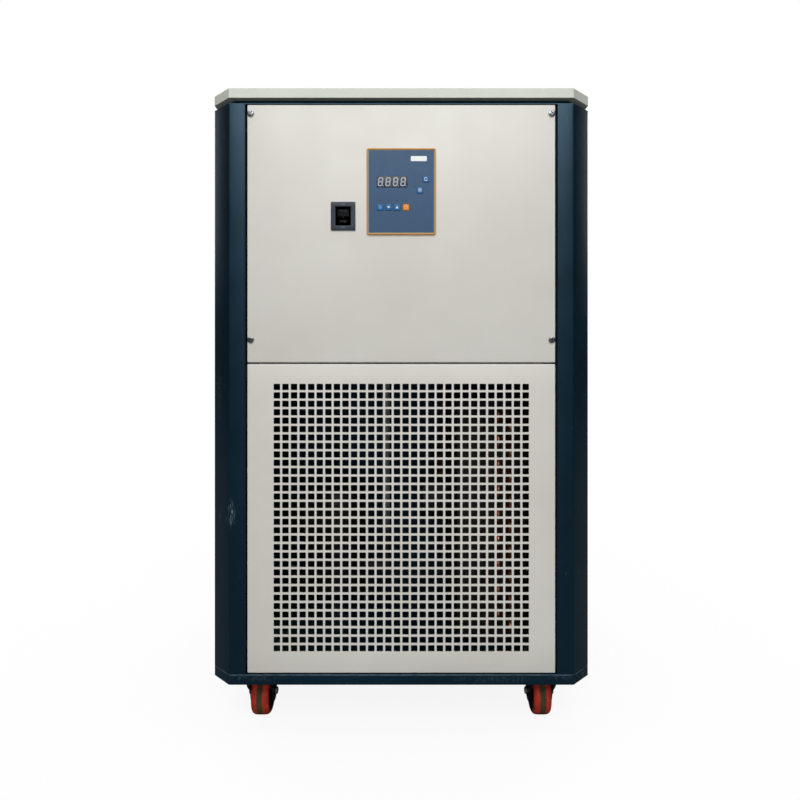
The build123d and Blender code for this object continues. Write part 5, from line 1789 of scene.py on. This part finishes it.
@dataclass
class Studio:
    """The camera at the photograph's place, a pale floor and soft light from the front and above."""

    distance: float = 1.030
    eye: float = 0.6115
    lens: float = 28.35
    shift_x: float = -0.0016
    shift_y: float = -0.0465

    def camera(self) -> None:
        """Sets the camera level, square on to the front."""
        data = bpy.data.cameras.new("camera")
        data.lens = self.lens
        data.sensor_width = 36.0
        data.shift_x = self.shift_x
        data.shift_y = self.shift_y
        data.dof.use_dof = False
        data.clip_end = 100.0
        seat = bpy.data.objects.new("camera", data)
        seat.location = (0.0, FRONT_Y / 1000 - self.distance, self.eye)
        seat.rotation_euler = (math.pi / 2, 0, 0)
        bpy.context.scene.collection.objects.link(seat)
        bpy.context.scene.camera = seat

    def floor(self) -> None:
        """A wide pale floor that shows near white and keeps the object's shadow."""
        made = Solid.plate(40000, 40000, 0.0)
        mesh = bpy.data.meshes.new("floor")
        bmesh.ops.scale(made.bm, vec=(0.001, 0.001, 0.001), verts=made.bm.verts)
        made.bm.to_mesh(mesh)
        made.bm.free()
        piece = bpy.data.objects.new("floor", mesh)
        bpy.context.scene.collection.objects.link(piece)
        cover = bpy.data.materials.new("white_paper_floor")
        cover.use_nodes = True
        tree = cover.node_tree
        tree.nodes.clear()
        seen = self.seen(tree)
        shade = add_node(tree, "ShaderNodeMix", {"data_type": "RGBA"}, {
            "Factor": seen, 6: linear("#6A6A6A"), 7: linear("#FFFFFF")}).outputs[2]
        paper = add_node(tree, "ShaderNodeBsdfDiffuse", inputs={"Color": shade})
        glow = add_node(tree, "ShaderNodeEmission", inputs={"Color": (1, 1, 1, 1), "Strength": 1.0})
        place = add_node(tree, "ShaderNodeTexCoord").outputs["Object"]
        away = add_node(tree, "ShaderNodeVectorMath", {"operation": "LENGTH"}, {0: place}).outputs["Value"]
        fade = add_node(tree, "ShaderNodeMapRange", inputs={
            "Value": away, "From Min": 0.3, "From Max": 1.3, "To Min": 0.9, "To Max": 1.0}).outputs[0]
        share = add_node(tree, "ShaderNodeMath", {"operation": "MULTIPLY"}, {0: seen, 1: fade})
        mixed = add_node(tree, "ShaderNodeMixShader", inputs={
            0: share.outputs[0], 1: paper.outputs[0], 2: glow.outputs[0]})
        add_node(tree, "ShaderNodeOutputMaterial", inputs={"Surface": mixed.outputs[0]})
        mesh.materials.append(cover)

    def seen(self, tree: bpy.types.NodeTree) -> bpy.types.NodeSocket:
        """1 for what the camera sees, directly or through glass, and 0 in a reflection."""
        path = add_node(tree, "ShaderNodeLightPath")
        shown = add_node(tree, "ShaderNodeMath", {"operation": "MAXIMUM"}, {
            0: path.outputs["Is Camera Ray"], 1: path.outputs["Is Transmission Ray"]})
        return shown.outputs[0]

    def world(self) -> None:
        """A room that the camera sees as white, while its light and reflections are dim and graded."""
        world = bpy.data.worlds.new("studio")
        bpy.context.scene.world = world
        world.use_nodes = True
        tree = world.node_tree
        tree.nodes.clear()
        way = add_node(tree, "ShaderNodeTexCoord").outputs["Generated"]
        split = add_node(tree, "ShaderNodeSeparateXYZ", inputs={0: way})
        rise = add_node(tree, "ShaderNodeMapRange", inputs={
            "Value": split.outputs["Z"], "From Min": 0.05, "From Max": 0.9,
            "To Min": 0.1, "To Max": 0.75}).outputs[0]
        aside = add_node(tree, "ShaderNodeMath", {"operation": "ABSOLUTE"}, {0: split.outputs["X"]})
        flag = add_node(tree, "ShaderNodeMapRange", inputs={
            "Value": aside.outputs[0], "From Min": 0.2, "From Max": 0.75,
            "To Min": 1.0, "To Max": 0.12}).outputs[0]
        level = add_node(tree, "ShaderNodeMath", {"operation": "MULTIPLY"}, {0: rise, 1: flag}).outputs[0]
        soft = add_node(tree, "ShaderNodeBackground", inputs={"Color": (1, 1, 1, 1), "Strength": level})
        white = add_node(tree, "ShaderNodeBackground", inputs={"Color": (1, 1, 1, 1), "Strength": 1.0})
        mixed = add_node(tree, "ShaderNodeMixShader", inputs={
            0: self.seen(tree), 1: soft.outputs[0], 2: white.outputs[0]})
        add_node(tree, "ShaderNodeOutputWorld", inputs={"Surface": mixed.outputs[0]})

    def lamp(self, name: str, place: tuple[float, float, float], aim: tuple[float, float, float],
             size: tuple[float, float], watts: float, mirrored: bool = True) -> None:
        """A soft box.

        Args:
            name: Name of the lamp.
            place: Where it stands.
            aim: What it points at.
            size: Width and height.
            watts: Its power.
            mirrored: Whether glossy surfaces show it.
        """
        data = bpy.data.lights.new(name, "AREA")
        data.shape = "RECTANGLE"
        data.size, data.size_y = size
        data.energy = watts
        stand = bpy.data.objects.new(name, data)
        stand.location = place
        stand.visible_glossy = mirrored
        stand.rotation_euler = (Vector(aim) - Vector(place)).to_track_quat("-Z", "Y").to_euler()
        bpy.context.scene.collection.objects.link(stand)

    def build(self) -> None:
        """Sets the camera, the floor and the light."""
        self.camera()
        self.floor()
        self.world()
        self.lamp("front_box", (0.0, -2.9, 2.7), (0.0, -0.3, 0.7), (2.8, 1.2), 65.0)
        self.lamp("front_fill", (0.0, -3.5, 0.5), (0.0, -0.3, 0.5), (1.6, 1.0), 27.0, mirrored=False)
        self.lamp("top_box", (0.0, 0.2, 3.4), (0.0, 0.0, 0.5), (2.4, 2.4), 22.0)
        self.lamp("left_box", (-2.6, 2.4, 2.0), (0.0, 0.0, 0.6), (1.6, 1.4), 26.0)
        self.lamp("right_box", (2.6, 2.4, 2.0), (0.0, 0.0, 0.6), (1.6, 1.4), 26.0)
        bpy.context.scene.view_settings.view_transform = "Standard"


def dress_nodes() -> None:
    """Gives every node of the model the finish of its slot, except the four nodes listed here, which get
    finishes of their own.
    """
    special: dict[str, Finish] = {
        "condenser_end_plates": DARK_END_PLATE,
        "discharge_pipe": DARKER_COPPER,
        "fan_motor": BLACK_ENAMEL,
        "filter_drier": COPPER,
    }
    for part in frame["record"]["subparts"]:
        node = frame["nodes"][part["node"]]
        finish = special.get(part["node"], SLOT_FINISHES[part["material_slot"]])
        node.data.materials.clear()
        node.data.materials.append(PALETTE.of(finish))


def main() -> None:
    """Builds the studio and every sub-assembly in order."""
    logging.basicConfig(level=logging.INFO, format="%(name)s %(message)s")
    Studio().build()
    dress_nodes()
    for kind in (Cabinet, PanelScrews, Controller, MainsSwitch, Condenser, FillerCap, RearPorts, Casters):
        LOG.info("building %s", kind.__name__)
        kind().build()


if __name__ == "__main__":
    main()
